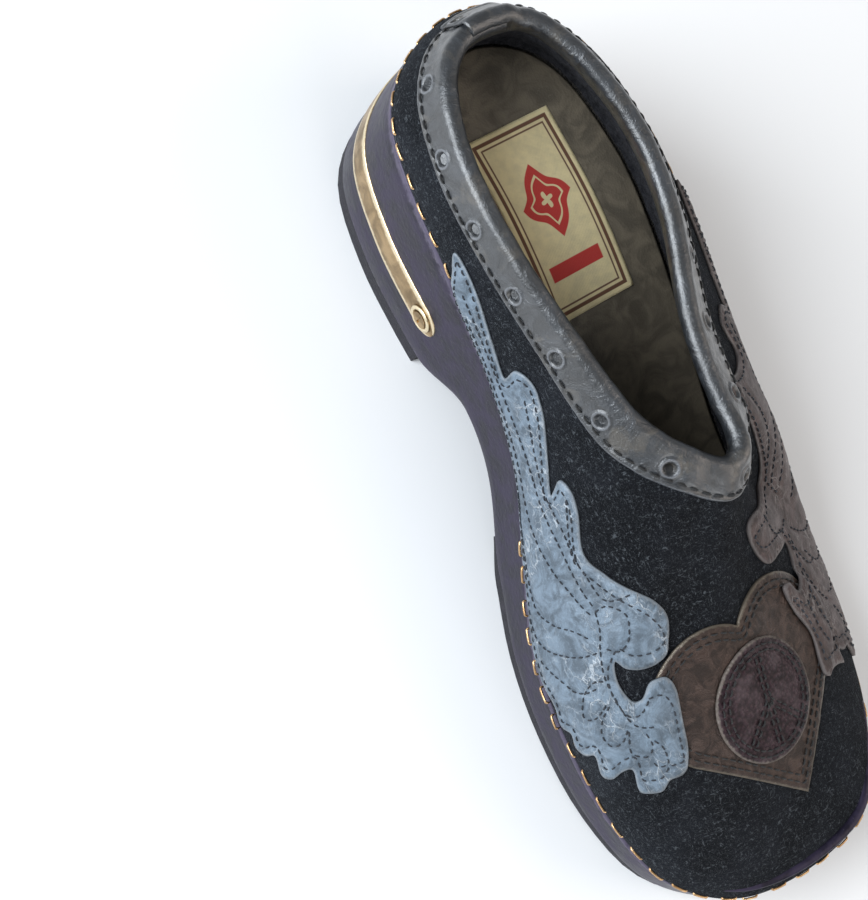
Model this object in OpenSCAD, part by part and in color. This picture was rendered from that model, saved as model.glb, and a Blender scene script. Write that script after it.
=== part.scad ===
// Slip-on clog for the left foot: black wooden sole, suede upper with a leather
// collar, appliqued wings, heart and medallion, brass band around the heel.
// +Z is up, +Y points to the heel, -X is the inner side of the foot, in millimetres.
// The origin lies on the ground under the middle of the sole.

/* [Sole] */
// Length of the sole at its rim
sole_length = 271; // [225:1:325]
// Width of the sole at the ball of the foot
ball_width = 100; // [83:1:120]
// Height of the rim at the heel
heel_height = 56.5; // [46:0.5:70]
// Height of the rim at the ball of the foot
ball_height = 20; // [18:0.5:26]
// Height of the rim at the tip of the toe
toe_height = 26; // [24:0.5:34]
// How far the wood lifts off the ground at the toe
toe_spring = 8; // [2:0.5:12]
// How far the hollow under the arch rises above the heel tread
arch_rise = 13; // [4:0.5:16]
// Where the heel block ends, measured along Y
heel_breast_y = 52; // [40:1:64]
// Step in the rim where the suede is stapled on
ledge_inset = 2.2; // [1.8:0.1:3]
// Height of the wooden wall that holds the staples
wall_rise = 7; // [5.5:0.5:8]
// Thickness of that wall
wall_t = 2.8; // [2:0.1:3.6]
// Depth of the hollow for the footbed, below the rim
bed_depth = 7; // [6:0.5:8]

/* [Treads] */
// Thickness of the rubber heel lift
heel_lift_t = 6; // [4:0.5:8]
// Thickness of the rubber tread under the ball of the foot
tread_t = 4; // [2.5:0.5:5]
// How far the treads stay inside the edge of the wood
tread_inset = 0.6; // [0:0.1:3]
// Where the ball tread ends towards the arch, measured along Y
tread_end_y = -8; // [-20:1:0]
// Radius of a heel nail
nail_r = 1.3; // [0.8:0.1:2]
// Length of a heel nail
nail_len = 16; // [8:1:20]

/* [Heel band] */
// Height of the brass band
band_h = 12; // [8:0.5:14]
// Height of the band's middle above the ground
band_z = 26; // [20:0.5:30]
// Thickness of the band
band_t = 1.2; // [0.8:0.1:2]
// How far the band stands out of the wood
band_proud = 0.4; // [0:0.1:0.8]
// Where the band's round ends are centred, measured along Y
band_end_y = 60; // [56:1:90]
// Outer radius of the eyelet in each end
eyelet_r = 4.6; // [3.5:0.1:5.5]
// Radius of the rivet's shank
rivet_r = 1.5; // [1:0.1:2]

/* [Upper] */
// Height of the topline above the heel's rim
collar_rise = 22; // [18:0.5:28]
// Thickness of the suede
suede_t = 1.6; // [1.2:0.1:2]
// Thickness of the fleece lining at the footbed
fleece_t = 3.4; // [2.4:0.1:4.5]
// Thickness of the fleece lining under the collar
fleece_top_t = 1.5; // [1.2:0.1:2]
// Thickness of the stiffeners in the toe and the heel
stiffener_t = 0.9; // [0.6:0.1:1]
// Clearance between layers that lie on each other
layer_gap = 0.15; // [0.1:0.05:0.25]

/* [Collar] */
// Width of the collar on the outside
collar_w = 10; // [8:0.5:13]
// Width of the collar on the inside
collar_inner_w = 4; // [3:0.5:8]
// Thickness of the collar leather
collar_t = 1.1; // [0.8:0.1:1.5]
// Radius of the punched holes
hole_r = 1.7; // [1:0.1:2.2]
// Number of punched holes
hole_count = 16; // [10:1:22]
// Distance between two stitches
stitch_pitch = 4; // [3:0.5:6]

/* [Staples] */
// Staples from one station of the rim to the next
staples_per_station = 3; // [1:1:4]
// Length of a staple's crown
staple_len = 4.6; // [3:0.1:6]
// Thickness of the staple wire
staple_wire = 0.8; // [0.6:0.1:1.2]

/* [Applique] */
// Thickness of the wings and the heart
patch_t = 1.4; // [1:0.1:2]
// Thickness of the medallion that lies on the heart
medallion_t = 1.4; // [1:0.1:2]
// Radius of the medallion
medallion_r = 18; // [14:0.5:20]
// Half the width of the heart across its corners
heart_half = 28.5; // [23:0.5:32]
// Middle of the heart, measured along X
heart_x = 1.5; // [-4:0.5:6]
// Middle of the heart, measured along Y
heart_y = -85; // [-90:1:-80]
// How far the heart's tip is turned towards the outer side
heart_turn = 11; // [0:1:15]

/* [Footbed] */
// Thickness of the foam under the footbed cover
foam_t = 4; // [3:0.5:5]
// Thickness of the footbed cover
cover_t = 1.4; // [1:0.1:2]
// Width of the woven label
label_w = 30; // [22:1:32]
// Length of the woven label
label_l = 58; // [48:1:66]
// How far the label is turned
label_turn = 7; // [-10:1:10]

/* [Hidden] */

// The outline of the sole's rim, drawn for a 100 x 271 mm sole, from the back of the
// heel round the inner side to the toe and back along the outer side.
RIM = [
    [-5, 134.5], [-25, 127.5], [-38.5, 112], [-42, 87], [-40.5, 61],
    [-37, 33], [-36.5, 7], [-42, -19], [-48, -44], [-50, -70],
    [-48, -97], [-40, -120], [-21.5, -134], [5, -136.5], [29, -129.5],
    [43, -107.5], [49, -81], [50.5, -52], [47.5, -25], [43, 1],
    [40.5, 29], [38, 59], [35, 87], [28, 112.5], [14.5, 128.5],
];
// The topline at the same stations: x, y and the rise above the heel's own topline.
TOP = [
    [-5, 125, 0], [-21.5, 122, 0.5], [-32, 109, 2], [-36, 87, 2.5], [-34, 61, 2.5],
    [-27.5, 33, 1.5], [-20.5, 10, 1], [-13, -1, 1], [-8.5, -5.5, 1], [-5, -8.5, 1],
    [-2, -11.2, 0.5], [0.8, -13.2, 0.5], [3.5, -14.5, 0.5], [6, -15, 0.5], [8.2, -14.5, 0.5],
    [10.2, -13.2, 0.3], [11.7, -11.2, 0], [12.7, -8.5, -0.5], [12.9, -3.8, -1], [12.1, 5.2, -1.5],
    [14.1, 27.2, -1.2], [21.8, 57.2, -0.5], [22.3, 82.2, 0], [15.8, 105.2, 0.5], [6.3, 120.7, 0],
];
stations = len(RIM);
sx = ball_width / 100;
sy = sole_length / 271;
rim_pts = [for (p = RIM) [p.x * sx, p.y * sy, 0]];
top_pts = [for (p = TOP) [p.x * sx, p.y * sy, heel_height + collar_rise + p.z]];

// How the upper leaves the rim and arrives at the topline, by zone:
// share of the height it rises first, outward bulge, pull towards the rim, drop.
HEEL_ZONE = [0.40, 2.0, 0.05, 0.35];
BALL_ZONE = [0.44, 4.0, 0.38, 0.18];
TOE_ZONE = [0.30, 5, 0.45, 0.46];
// The outer side of the vamp slopes down sooner than the side of the big toe.
OUTER_VAMP = [0.22, 4.5, 0.18, 0.62];

// ---- curves ----

function smooth(a, b, x) = let (t = min(1, max(0, (x - a) / (b - a)))) t * t * (3 - 2 * t);

// A point on the closed spline through pts, at station u.
function spline(pts, u) =
    let (
        n = len(pts),
        w = u - n * floor(u / n),
        i = floor(w),
        t = w - i,
        a = pts[(i + n - 1) % n],
        b = pts[i % n],
        c = pts[(i + 1) % n],
        d = pts[(i + 2) % n]
    )
    0.5 * (2 * b + (c - a) * t + (2 * a - 5 * b + 4 * c - d) * t * t
        + (3 * b - a - 3 * c + d) * t * t * t);

function unit(v) = v / norm(v);
// Horizontal direction out of the closed spline pts at station u.
function out_dir(pts, u) =
    let (d = spline(pts, u + 0.05) - spline(pts, u - 0.05)) unit([d.y, -d.x, 0]);

// Height of the rim along the shoe.
ball_y = -48 * sy;
function rim_z(y) = y > ball_y
    ? ball_height + (heel_height - ball_height) * smooth(-55 * sy, 85 * sy, y)
    : ball_height + (toe_height - ball_height) * pow((ball_y - y) / (86 * sy), 2);

// Underside of the wood along the shoe.
arch_end_y = -20 * sy;
arch_span = heel_breast_y - arch_end_y;
function wood_z(y) =
    y >= heel_breast_y ? heel_lift_t
    : y > arch_end_y
        ? let (s = (heel_breast_y - y) / arch_span)
            tread_t + (heel_lift_t - tread_t) * (1 - s)
            + arch_rise * smooth(0, 0.3, s) * (1 - smooth(0.3, 1, s))
    : y > ball_y ? tread_t
    : tread_t + toe_spring * pow((ball_y - y) / (86 * sy), 2);

function rim(u, inset = 0) =
    let (p = spline(rim_pts, u) - out_dir(rim_pts, u) * inset) [p.x, p.y, rim_z(p.y)];

function zone(y) =
    let (
        w = 1 - smooth(-23 * sy, 77 * sy, y),
        v = 1 - smooth(-128 * sy, -63 * sy, y)
    )
    HEEL_ZONE * (1 - w) + (BALL_ZONE * (1 - v) + TOE_ZONE * v) * w;

// A point at share v of the way from foot point r to topline point t, at station u.
function arch_point(u, v, r, t) =
    let (
        k = u - stations * floor(u / stations),
        s = smooth(11, 14, k) * (1 - smooth(16.5, 19, k)),
        z = zone(spline(rim_pts, u).y) * (1 - s) + OUTER_VAMP * s,
        h = t.z - r.z,
        a = r + [0, 0, z[0] * h] + out_dir(rim_pts, u) * z[1],
        b = t + [(r.x - t.x) * z[2], (r.y - t.y) * z[2], -z[3] * h],
        w = 1 - v
    )
    w * w * w * r + 3 * w * w * v * a + 3 * w * v * v * b + v * v * v * t;

// Outer face of the suede, and the same face moved out by off.
function face(u, v) = arch_point(u, v, rim(u), spline(top_pts, u));
function face_normal(u, v) =
    let (
        w = min(v, 0.99),
        du = face(u + 0.04, w) - face(u - 0.04, w),
        dv = face(u, w + 0.01) - face(u, max(0, w - 0.01))
    )
    unit(cross(du, dv));
function skin(u, v, off) = face(u, v) + face_normal(u, v) * off;

// Outer face of the lining, from inside the wooden wall up to the topline.
lining_inset = ledge_inset + wall_t + 1.2;
lining_drop = 1;
function lining_foot(u) = rim(u, lining_inset) - [0, 0, lining_drop];
function lining_face(u, v) =
    arch_point(u, v, lining_foot(u), skin(u, 1, -suede_t - layer_gap));
function lining_normal(u, v) =
    let (
        w = min(v, 0.99),
        du = lining_face(u + 0.04, w) - lining_face(u - 0.04, w),
        dv = lining_face(u, w + 0.01) - lining_face(u, max(0, w - 0.01))
    )
    unit(cross(du, dv));
function lining(u, v, off) = lining_face(u, v) + lining_normal(u, v) * off;

// Share v that lies d below the topline, and a point there; negative d is above it.
function top_speed(u) = norm(face(u, 1) - face(u, 0.94)) / 0.06;
function below_top(u, d) = 1 - d / top_speed(u);
function collar_point(u, d, off) = d >= 0
    ? skin(u, below_top(u, d), off)
    : skin(u, 1, off) - unit(face(u, 1) - face(u, 0.94)) * d;

// Stations spaced evenly along a loop: table of length against station.
STEPS = 8;
function loop_lengths(pts, i = 0, sum = 0, out = []) =
    i > stations * STEPS ? out
    : let (s = sum + (i == 0 ? 0 : norm(spline(pts, i / STEPS) - spline(pts, (i - 1) / STEPS))))
        loop_lengths(pts, i + 1, s, concat(out, [[s, i / STEPS]]));
top_table = loop_lengths(top_pts);
top_length = top_table[len(top_table) - 1][0];

// ---- solids from rows of points ----

// Closed solid from rows of points: each row is a closed ring. The ends are capped,
// or the last row joins the first when ring is true.
module rows_solid(rows, ring = false) {
    n = len(rows);
    m = len(rows[0]);
    last = ring ? n : n - 1;
    sides = [for (i = [0:last - 1], j = [0:m - 1])
        let (
            a = i * m + j,
            b = i * m + (j + 1) % m,
            c = ((i + 1) % n) * m + (j + 1) % m,
            d = ((i + 1) % n) * m + j
        )
        each [[a, b, c], [a, c, d]]];
    // A cap is a strip between the first half of its ring and the second half.
    half = floor(m / 2);
    caps = ring ? [] : [for (j = [0:half - 2])
        each [
            [j + 1, j, m - 2 - j], [m - 2 - j, j, m - 1 - j],
            [(n - 1) * m + j, (n - 1) * m + j + 1, (n - 1) * m + m - 1 - j],
            [(n - 1) * m + m - 1 - j, (n - 1) * m + j + 1, (n - 1) * m + m - 2 - j],
        ]];
    polyhedron([for (r = rows) each r], concat(sides, caps));
}

function steps(a, b, n) = [for (i = [0:n]) a + (b - a) * i / n];

// A flat solid that lies on the upper: us are stations, lo and hi its edges there.
module patch(us, lo, hi, nv, under, over) {
    rows_solid([for (u = us)
        let (vs = steps(lookup(u, lo), lookup(u, hi), nv))
        concat(
            [for (v = vs) skin(u, v, under)],
            [for (i = [nv:-1:0]) skin(u, vs[i], over)]
        )]);
}

// A short thread at station u and share v, raised by off, along direction turn.
module stitch(u, v, off, turn = 0, length = 2.6, thread = 0.7) {
    p = skin(u, v, off);
    n = face_normal(u, v);
    t = unit(face(u + 0.05, v) - face(u - 0.05, v));
    lay_on(p, n, t)
        rotate([0, 0, turn])
            cube([length, thread, thread], center = true);
}

// Moves children so that their Z points along n and their X along t.
module lay_on(p, n, t) {
    azimuth = atan2(n.y, n.x);
    tilt = acos(n.z);
    // X of the frame after the two turns, and the spin that takes it onto t
    e = [cos(azimuth) * cos(tilt), sin(azimuth) * cos(tilt), -sin(tilt)];
    f = cross(n, e);
    spin = atan2(t * f, t * e);
    translate(p)
        rotate([0, 0, azimuth])
            rotate([0, tilt, 0])
                rotate([0, 0, spin])
                    children();
}

// ---- sole ----

outline_u = steps(0, stations - 0.25, stations * 4 - 1);
function outline(inset) = [for (u = outline_u) let (p = rim(u, inset)) [p.x, p.y]];

module outline_block(inset, height) {
    linear_extrude(height = height)
        polygon(outline(inset));
}

// A block across the whole sole, between two heights that change along Y.
module side_block(lower, upper) {
    translate([-ball_width, 0, 0])
        rotate([90, 0, 90])
            linear_extrude(height = 2 * ball_width)
                polygon(concat(lower, [for (i = [len(upper) - 1:-1:0]) upper[i]]));
}

side_ys = steps(-0.54 * sole_length, 0.54 * sole_length, 54);
ground_line = [for (y = side_ys) [y, wood_z(y)]];
function rim_line(lift) = [for (y = side_ys) [y, rim_z(y) + lift]];
block_height = heel_height + wall_rise + 5;

module sole() {
    color("#16151a")
    difference() {
        union() {
            intersection() {
                outline_block(0, block_height);
                side_block(ground_line, rim_line(0));
            }
            intersection() {
                outline_block(ledge_inset, block_height);
                side_block(ground_line, rim_line(wall_rise));
            }
        }
        intersection() {
            outline_block(ledge_inset + wall_t, block_height + 10);
            side_block(rim_line(-bed_depth), rim_line(wall_rise + 12));
        }
        band_blank(band_t - band_proud, -3);
        band_shanks(rivet_r, shank_len);
        nails_at()
            cylinder(r = nail_r, h = nail_len, $fn = 20);
    }
}

// The tread is skived towards the arch, where it ends skive_t thick.
skive_t = 1;
skive_length = 14;
function tread_at(y) =
    tread_t - (tread_t - skive_t) * smooth(tread_end_y - skive_length, tread_end_y, y);
module outsole_front() {
    color("#1c1c1f")
    intersection() {
        outline_block(tread_inset, block_height);
        side_block(
            [for (y = tread_ys) [y, wood_z(y) - tread_at(y)]],
            [for (y = tread_ys) [y, wood_z(y)]]
        );
    }
}
tread_ys = concat(
    steps(-0.54 * sole_length, ball_y, 14),
    steps(tread_end_y - skive_length, tread_end_y, 5)
);

module heel_lift() {
    color("#1c1c1f")
    difference() {
        intersection() {
            outline_block(tread_inset, heel_lift_t);
            translate([-ball_width, heel_breast_y, 0])
                cube([2 * ball_width, sole_length, heel_lift_t]);
        }
        nails_at()
            cylinder(r = nail_r, h = nail_len, $fn = 20);
        nails_at()
            cylinder(r = 2 * nail_r, h = nail_head, $fn = 20);
    }
}

// Five nails in a horseshoe, driven up through the heel lift.
nail_head = 1;
nail_start = 0.8;
nail_spots = [
    [-27, 70], [-26, 104], [-4, 120], [18, 104], [20, 70],
];
module nails_at() {
    for (p = nail_spots)
        translate([p.x * sx, p.y * sy, nail_start])
            children();
}

module heel_lift_nails() {
    color("#8d8d88")
    nails_at() {
        cylinder(r = nail_r, h = nail_len, $fn = 20);
        cylinder(r = 2 * nail_r, h = nail_head, $fn = 20);
    }
}

// ---- heel band ----

// Everything behind the band's round ends, as seen from the side.
module band_side() {
    translate([-ball_width, band_end_y, band_z - band_h / 2])
        cube([2 * ball_width, sole_length, band_h]);
    translate([-ball_width, band_end_y, band_z])
        rotate([0, 90, 0])
            cylinder(r = band_h / 2, h = 2 * ball_width, $fn = 40);
}

// A ring along the outline between two insets, cut to the band's side shape.
module band_blank(inner, outer) {
    intersection() {
        difference() {
            outline_block(outer, block_height);
            translate([0, 0, -1])
                outline_block(inner, block_height + 2);
        }
        band_side();
    }
}

// Children along the outward direction at the centre of each round end.
module at_band_ends() {
    for (side = [-1, 1]) {
        u = side < 0 ? band_u[0] : band_u[1];
        n = out_dir(rim_pts, u);
        p = rim(u);
        translate([p.x, p.y, band_z])
            rotate([0, 0, atan2(n.y, n.x)])
                rotate([0, 90, 0])
                    children();
    }
}
// Stations of the rim that lie at band_end_y, on the outer and the inner side.
band_u = [
    lookup(-band_end_y, [for (i = [2:0.125:8]) [-spline(rim_pts, i).y, i]]),
    lookup(band_end_y, [for (i = [18:0.125:23]) [spline(rim_pts, i).y, i]]),
];

shank_len = 9;
module band_shanks(radius, length) {
    at_band_ends()
        translate([0, 0, -length])
            cylinder(r = radius, h = length + 3, $fn = 24);
}

module brass_band() {
    color("#b08d57")
    difference() {
        band_blank(band_t - band_proud, -band_proud);
        band_shanks(rivet_r, shank_len);
    }
}

eyelet_h = 0.9;
eyelet_bore = 3;
module band_eyelets() {
    color("#c9a86a")
    at_band_ends()
        translate([0, 0, band_proud + 0.3])
            difference() {
                cylinder(r = eyelet_r, h = eyelet_h, $fn = 40);
                translate([0, 0, -1])
                    cylinder(r = eyelet_bore, h = eyelet_h + 2, $fn = 40);
            }
}

rivet_head_r = 2.8;
module band_rivets() {
    color("#a8844e")
    at_band_ends() {
        translate([0, 0, -shank_len])
            cylinder(r = rivet_r, h = shank_len + band_proud + 0.4, $fn = 24);
        translate([0, 0, band_proud + 0.3])
            difference() {
                cylinder(r = rivet_head_r, h = 0.7, $fn = 40);
                translate([-1.9, -0.4, 0.35])
                    cube([3.8, 0.8, 1]);
            }
    }
}

// ---- upper ----

// Rows around the shoe, and shares up the side that crowd together at the rim.
suede_us = [for (i = [0:3 * stations - 1]) i / 3];
fleece_us = [for (i = [0:2 * stations - 1]) i / 2];
upper_vs = [for (i = [0:12]) pow(i / 12, 1.35)];
vs_last = len(upper_vs) - 1;

// A closed skin between two depths below the face of the suede.
module suede_upper() {
    color("#1b1c20")
    rows_solid([for (u = suede_us)
        concat(
            [for (v = upper_vs) skin(u, v, 0)],
            [for (i = [vs_last:-1:0]) skin(u, upper_vs[i], -suede_t)]
        )], ring = true);
}

stiff_under = -suede_t - layer_gap - stiffener_t;
module toe_puff() {
    color("#6d5a45")
    patch(steps(9.5, 17, 15), [[9, 0.2], [18, 0.2]], [[9.5, 0.32], [13, 0.46], [17, 0.32]],
        6, stiff_under, -suede_t - layer_gap);
}

module heel_counter() {
    color("#6d5a45")
    patch(steps(-3, 3, 12), [[-3, 0.44], [3, 0.44]], [[-3, 0.56], [0, 0.66], [3, 0.56]],
        2, stiff_under, -suede_t - layer_gap);
}

function fleece_at(v) = fleece_t + (fleece_top_t - fleece_t) * smooth(0.55, 1, v);
module fleece_lining() {
    color("#0f0f12")
    rows_solid([for (u = fleece_us)
        concat(
            [for (v = upper_vs) lining(u, v, 0)],
            [for (i = [vs_last:-1:0]) lining(u, upper_vs[i], -fleece_at(upper_vs[i]))]
        )], ring = true);
}

// ---- collar ----

inner_face = -suede_t - 2 * layer_gap - fleece_top_t - 0.2;
collar_section = [
    [collar_w, layer_gap], [collar_w, layer_gap + collar_t],
    [0.55 * collar_w, layer_gap + collar_t], [0.8, layer_gap + collar_t],
    [-1.4, -0.2], [-2, -1.7], [-1.4, -3.2],
    [0.8, inner_face - collar_t], [collar_inner_w, inner_face - collar_t],
    [collar_inner_w, inner_face], [-0.3, inner_face], [-0.3, layer_gap],
];
collar_us = [for (i = [0:99]) lookup(i * top_length / 100, top_table)];
hole_us = [for (i = [0:hole_count - 1]) lookup((i + 0.5) * top_length / hole_count, top_table)];
hole_depth = 0.55 * collar_w;
seam_inset = 1.6;

module collar() {
    color("#3b4350")
    difference() {
        rows_solid([for (u = collar_us)
            [for (s = collar_section) collar_point(u, s[0], s[1])]], ring = true);
        for (u = hole_us) {
            v = below_top(u, hole_depth);
            lay_on(skin(u, v, -0.5 * suede_t), face_normal(u, v), [1, 0, 0])
                cylinder(r = hole_r, h = suede_t + 3, $fn = 16);
        }
    }
}

collar_stitches = floor(top_length / stitch_pitch);
module collar_stitching() {
    color("#08080a")
    for (i = [0:collar_stitches - 1]) {
        u = lookup((i + 0.5) * top_length / collar_stitches, top_table);
        stitch(u, below_top(u, collar_w - seam_inset), layer_gap + collar_t + 0.3);
    }
}

// ---- staples ----

staple_z = 3.2;
// Stations where a wing's tail hides the staples.
hidden = [[3.9, 7.0], [18.0, 21.1]];
function shows(u) = len([for (h = hidden) if (u > h[0] && u < h[1]) 1]) == 0;

module staples() {
    color("#c6a878")
    for (i = [0:stations * staples_per_station - 1]) {
        u = (i + 0.4) / staples_per_station;
        v = staple_z / (3 * zone(spline(rim_pts, u).y)[0] * (top_pts[0].z - rim(u).z));
        if (shows(u))
            stitch(u, v, staple_wire / 2 - 0.1, 0, staple_len, staple_wire);
    }
}

// ---- wings ----

// Edges of each wing: stations, with the share up the side of its lower and upper edge.
MEDIAL_LO = [
    [3.7, 0.30], [4.4, 0.10], [5.2, 0.04], [8.2, 0.05], [8.9, 0.08],
    [9.4, 0.16], [9.9, 0.24], [10.5, 0.34], [10.8, 0.45],
];
MEDIAL_HI = [
    [3.7, 0.42], [5.2, 0.50], [6.5, 0.36], [6.9, 0.47], [8.0, 0.53],
    [8.6, 0.60], [9.4, 0.65], [9.9, 0.66], [10.5, 0.59], [10.8, 0.52],
];
LATERAL_LO = [
    [13.6, 0.77], [14.6, 0.72], [15.2, 0.46], [15.5, 0.28], [15.9, 0.14],
    [16.5, 0.06], [19.8, 0.04], [20.6, 0.10], [21.3, 0.30],
];
LATERAL_HI = [
    [13.6, 0.82], [14.4, 0.83], [15.2, 0.80], [16.2, 0.74], [17.1, 0.68],
    [18.0, 0.74], [18.8, 0.82], [19.2, 0.68], [19.8, 0.48], [20.6, 0.40], [21.3, 0.42],
];
wing_cuts = 28;

module wing(lo, hi) {
    last = len(lo) - 1;
    patch(steps(lo[0][0], lo[last][0], wing_cuts), lo, hi, 5, layer_gap, layer_gap + patch_t);
}

module wing_medial() {
    color("#5a6675")
    wing(MEDIAL_LO, MEDIAL_HI);
}

module wing_lateral() {
    color("#5b5350")
    wing(LATERAL_LO, LATERAL_HI);
}

// Two rows along the edges and one along the middle.
module wing_rows(lo, hi) {
    first = lo[0][0] + 0.4;
    last = lo[len(lo) - 1][0] - 0.4;
    for (share = [0.12, 0.5, 0.88], i = [0:31]) {
        u = first + (last - first) * i / 31;
        v = lookup(u, lo) * (1 - share) + lookup(u, hi) * share;
        stitch(u, v, layer_gap + patch_t + 0.3);
    }
}

module wing_medial_stitching() {
    color("#1a1d22")
    wing_rows(MEDIAL_LO, MEDIAL_HI);
}

module wing_lateral_stitching() {
    color("#1a1d22")
    wing_rows(LATERAL_LO, LATERAL_HI);
}

// ---- heart and medallion ----

// The heart's own plane: x across it, y from its tip to its cleft, from its middle.
function heart_plane(x, y) = [
    heart_x * sx + x * cos(heart_turn) - y * sin(heart_turn),
    heart_y * sy + x * sin(heart_turn) + y * cos(heart_turn),
];

// Station and share of the point of the vamp over plan point [x, y], found step by step.
function vault_u(x, y, u = 12.75, v = 0.56, n = 0) =
    n > 7 ? [u, v]
    : let (
        p = face(u, v),
        du = (face(u + 0.1, v) - face(u - 0.1, v)) / 0.2,
        dv = (face(u, v + 0.02) - face(u, v - 0.02)) / 0.04,
        det = du.x * dv.y - du.y * dv.x,
        ex = x - p.x,
        ey = y - p.y
    )
    vault_u(x, y, u + (ex * dv.y - ey * dv.x) / det, v + (du.x * ey - du.y * ex) / det, n + 1);

function on_vault(x, y, off) =
    let (
        p = heart_plane(x, y),
        s = vault_u(p.x, p.y)
    )
    skin(s[0], s[1], off);

// A heart with a right-angled tip towards the toe and two round lobes,
// as radius against angle: a square stood on its corner with a half circle on each upper side.
function heart_edge(t) =
    let (
        side = heart_half * sqrt(2),
        lobe = side / 2,
        a = abs(t > 180 ? t - 360 : t),
        c = [lobe / sqrt(2), lobe / sqrt(2)],
        w = [sin(a), cos(a)],
        dot_cw = c * w,
        lobe_hit = dot_cw + sqrt(max(0, dot_cw * dot_cw - c * c + lobe * lobe)),
        edge_hit = heart_half / (sin(a) - cos(a))
    )
    a < 90 ? lobe_hit : edge_hit;

// A disc-like solid on the vault: rings of points round middle, out to edge[i].
module motif(edge, middle, under, over, rings) {
    n = len(edge);
    flat = [for (r = [1:rings], i = [0:n - 1])
        middle + polar(edge[i] * r / rings, 360 * i / n)];
    mid = middle;
    top_points = concat([on_vault(mid.x, mid.y, over)], [for (p = flat) on_vault(p.x, p.y, over)]);
    low_points = concat([on_vault(mid.x, mid.y, under)], [for (p = flat) on_vault(p.x, p.y, under)]);
    k = len(top_points);
    fan = [for (j = [0:n - 1]) [0, 1 + j, 1 + (j + 1) % n]];
    grid = [for (r = [0:rings - 2], j = [0:n - 1])
        let (
            a = 1 + r * n + j,
            b = 1 + r * n + (j + 1) % n,
            c = b + n,
            d = a + n
        )
        each [[a, d, c], [a, c, b]]];
    faces_up = concat(fan, grid);
    rim_faces = [for (j = [0:n - 1])
        let (
            a = 1 + (rings - 1) * n + j,
            b = 1 + (rings - 1) * n + (j + 1) % n
        )
        each [[a, a + k, b + k], [a, b + k, b]]];
    faces_down = [for (f = faces_up) [f[0] + k, f[2] + k, f[1] + k]];
    polyhedron(concat(top_points, low_points), concat(faces_up, faces_down, rim_faces));
}

heart_n = 48;
heart_off = layer_gap + patch_t + 0.1;
module heart_patch() {
    color("#4a4c50")
    motif([for (i = [0:heart_n - 1]) heart_edge(360 * i / heart_n)], [0, 0],
        layer_gap, layer_gap + patch_t, 5);
}

medallion_at = [-1.2, 4.8];
module medallion() {
    color("#55524e")
    motif([for (i = [0:35]) medallion_r], medallion_at, heart_off, heart_off + medallion_t, 4);
}

// A thread on the vault between two plan points that lie close together.
module vault_thread(a, b, off) {
    p = on_vault(a.x, a.y, off);
    q = on_vault(b.x, b.y, off);
    w = heart_plane(a.x, a.y);
    s = vault_u(w.x, w.y);
    lay_on((p + q) / 2, face_normal(s[0], s[1]), unit(q - p))
        cube([norm(q - p), 0.7, 0.7], center = true);
}

function polar(r, t) = [r * sin(t), r * cos(t)];

module heart_stitching() {
    color("#0b0b0d")
    for (i = [0:47]) {
        t = 7.5 * i + 3;
        r = 0.9 * heart_edge(t);
        if (abs(t - 360) > 4)
            vault_thread(polar(r, t - 2), polar(0.9 * heart_edge(t + 2), t + 2),
                layer_gap + patch_t + 0.3);
    }
}

module emblem_thread(a, b, off) {
    vault_thread(medallion_at + a, medallion_at + b, off);
}

// A ring of stitches, the upright bar and the two arms of the emblem.
module medallion_stitching() {
    lift = heart_off + medallion_t + 0.3;
    ring_r = medallion_r - 3;
    color("#0b0b0d") {
        for (i = [0:23])
            emblem_thread(polar(ring_r, 15 * i), polar(ring_r, 15 * i + 9), lift);
        for (y = [-12:4.5:12])
            emblem_thread([0, y], [0, y + 2.8], lift);
        for (side = [-1, 1], d = [2.5, 6.5, 10.5])
            emblem_thread(polar(d, 180 + side * 45), polar(d + 2.8, 180 + side * 45), lift);
    }
}

// ---- footbed ----

bed_inset = lining_inset + fleece_t + 0.4;
bed_ys = steps(-0.54 * sole_length, 0.54 * sole_length, 40);
function bed_line(lift) = [for (y = bed_ys) [y, rim_z(y) - bed_depth + lift]];

module bed_layer(inset, low, high) {
    intersection() {
        outline_block(inset, block_height);
        side_block(bed_line(low), bed_line(high));
    }
}

foam_gap = 0.05;
module footbed_foam() {
    color("#3a3632")
    bed_layer(ledge_inset + wall_t + 0.2, foam_gap, foam_gap + foam_t);
}

module footbed_cover() {
    color("#4b463c")
    bed_layer(bed_inset, 2 * foam_gap + foam_t, 2 * foam_gap + foam_t + cover_t);
}

label_t = 0.5;
label_x = -1.5;
label_y = 71.5;
module footbed_label() {
    base = 3 * foam_gap + foam_t + cover_t;
    color("#e8d9a8")
    intersection() {
        translate([label_x * sx, label_y * sy, 0])
            rotate([0, 0, label_turn])
                translate([-label_w / 2, -label_l / 2, 0])
                    cube([label_w, label_l, block_height]);
        side_block(bed_line(base), bed_line(base + label_t));
    }
}

sole();
outsole_front();
heel_lift();
heel_lift_nails();
brass_band();
band_eyelets();
band_rivets();
suede_upper();
toe_puff();
heel_counter();
fleece_lining();
collar();
collar_stitching();
staples();
wing_lateral();
wing_lateral_stitching();
wing_medial();
wing_medial_stitching();
heart_patch();
heart_stitching();
medallion();
medallion_stitching();
footbed_foam();
footbed_cover();
footbed_label();
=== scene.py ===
"""Left-foot slip-on clog: black wooden sole, stapled suede upper, leather collar, and
stitched wings, heart and medallion."""
import math
import random

import bmesh
import bpy
import numpy as np
from bpy.props import FloatProperty, FloatVectorProperty, IntProperty, PointerProperty
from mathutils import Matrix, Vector, geometry, noise


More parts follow.
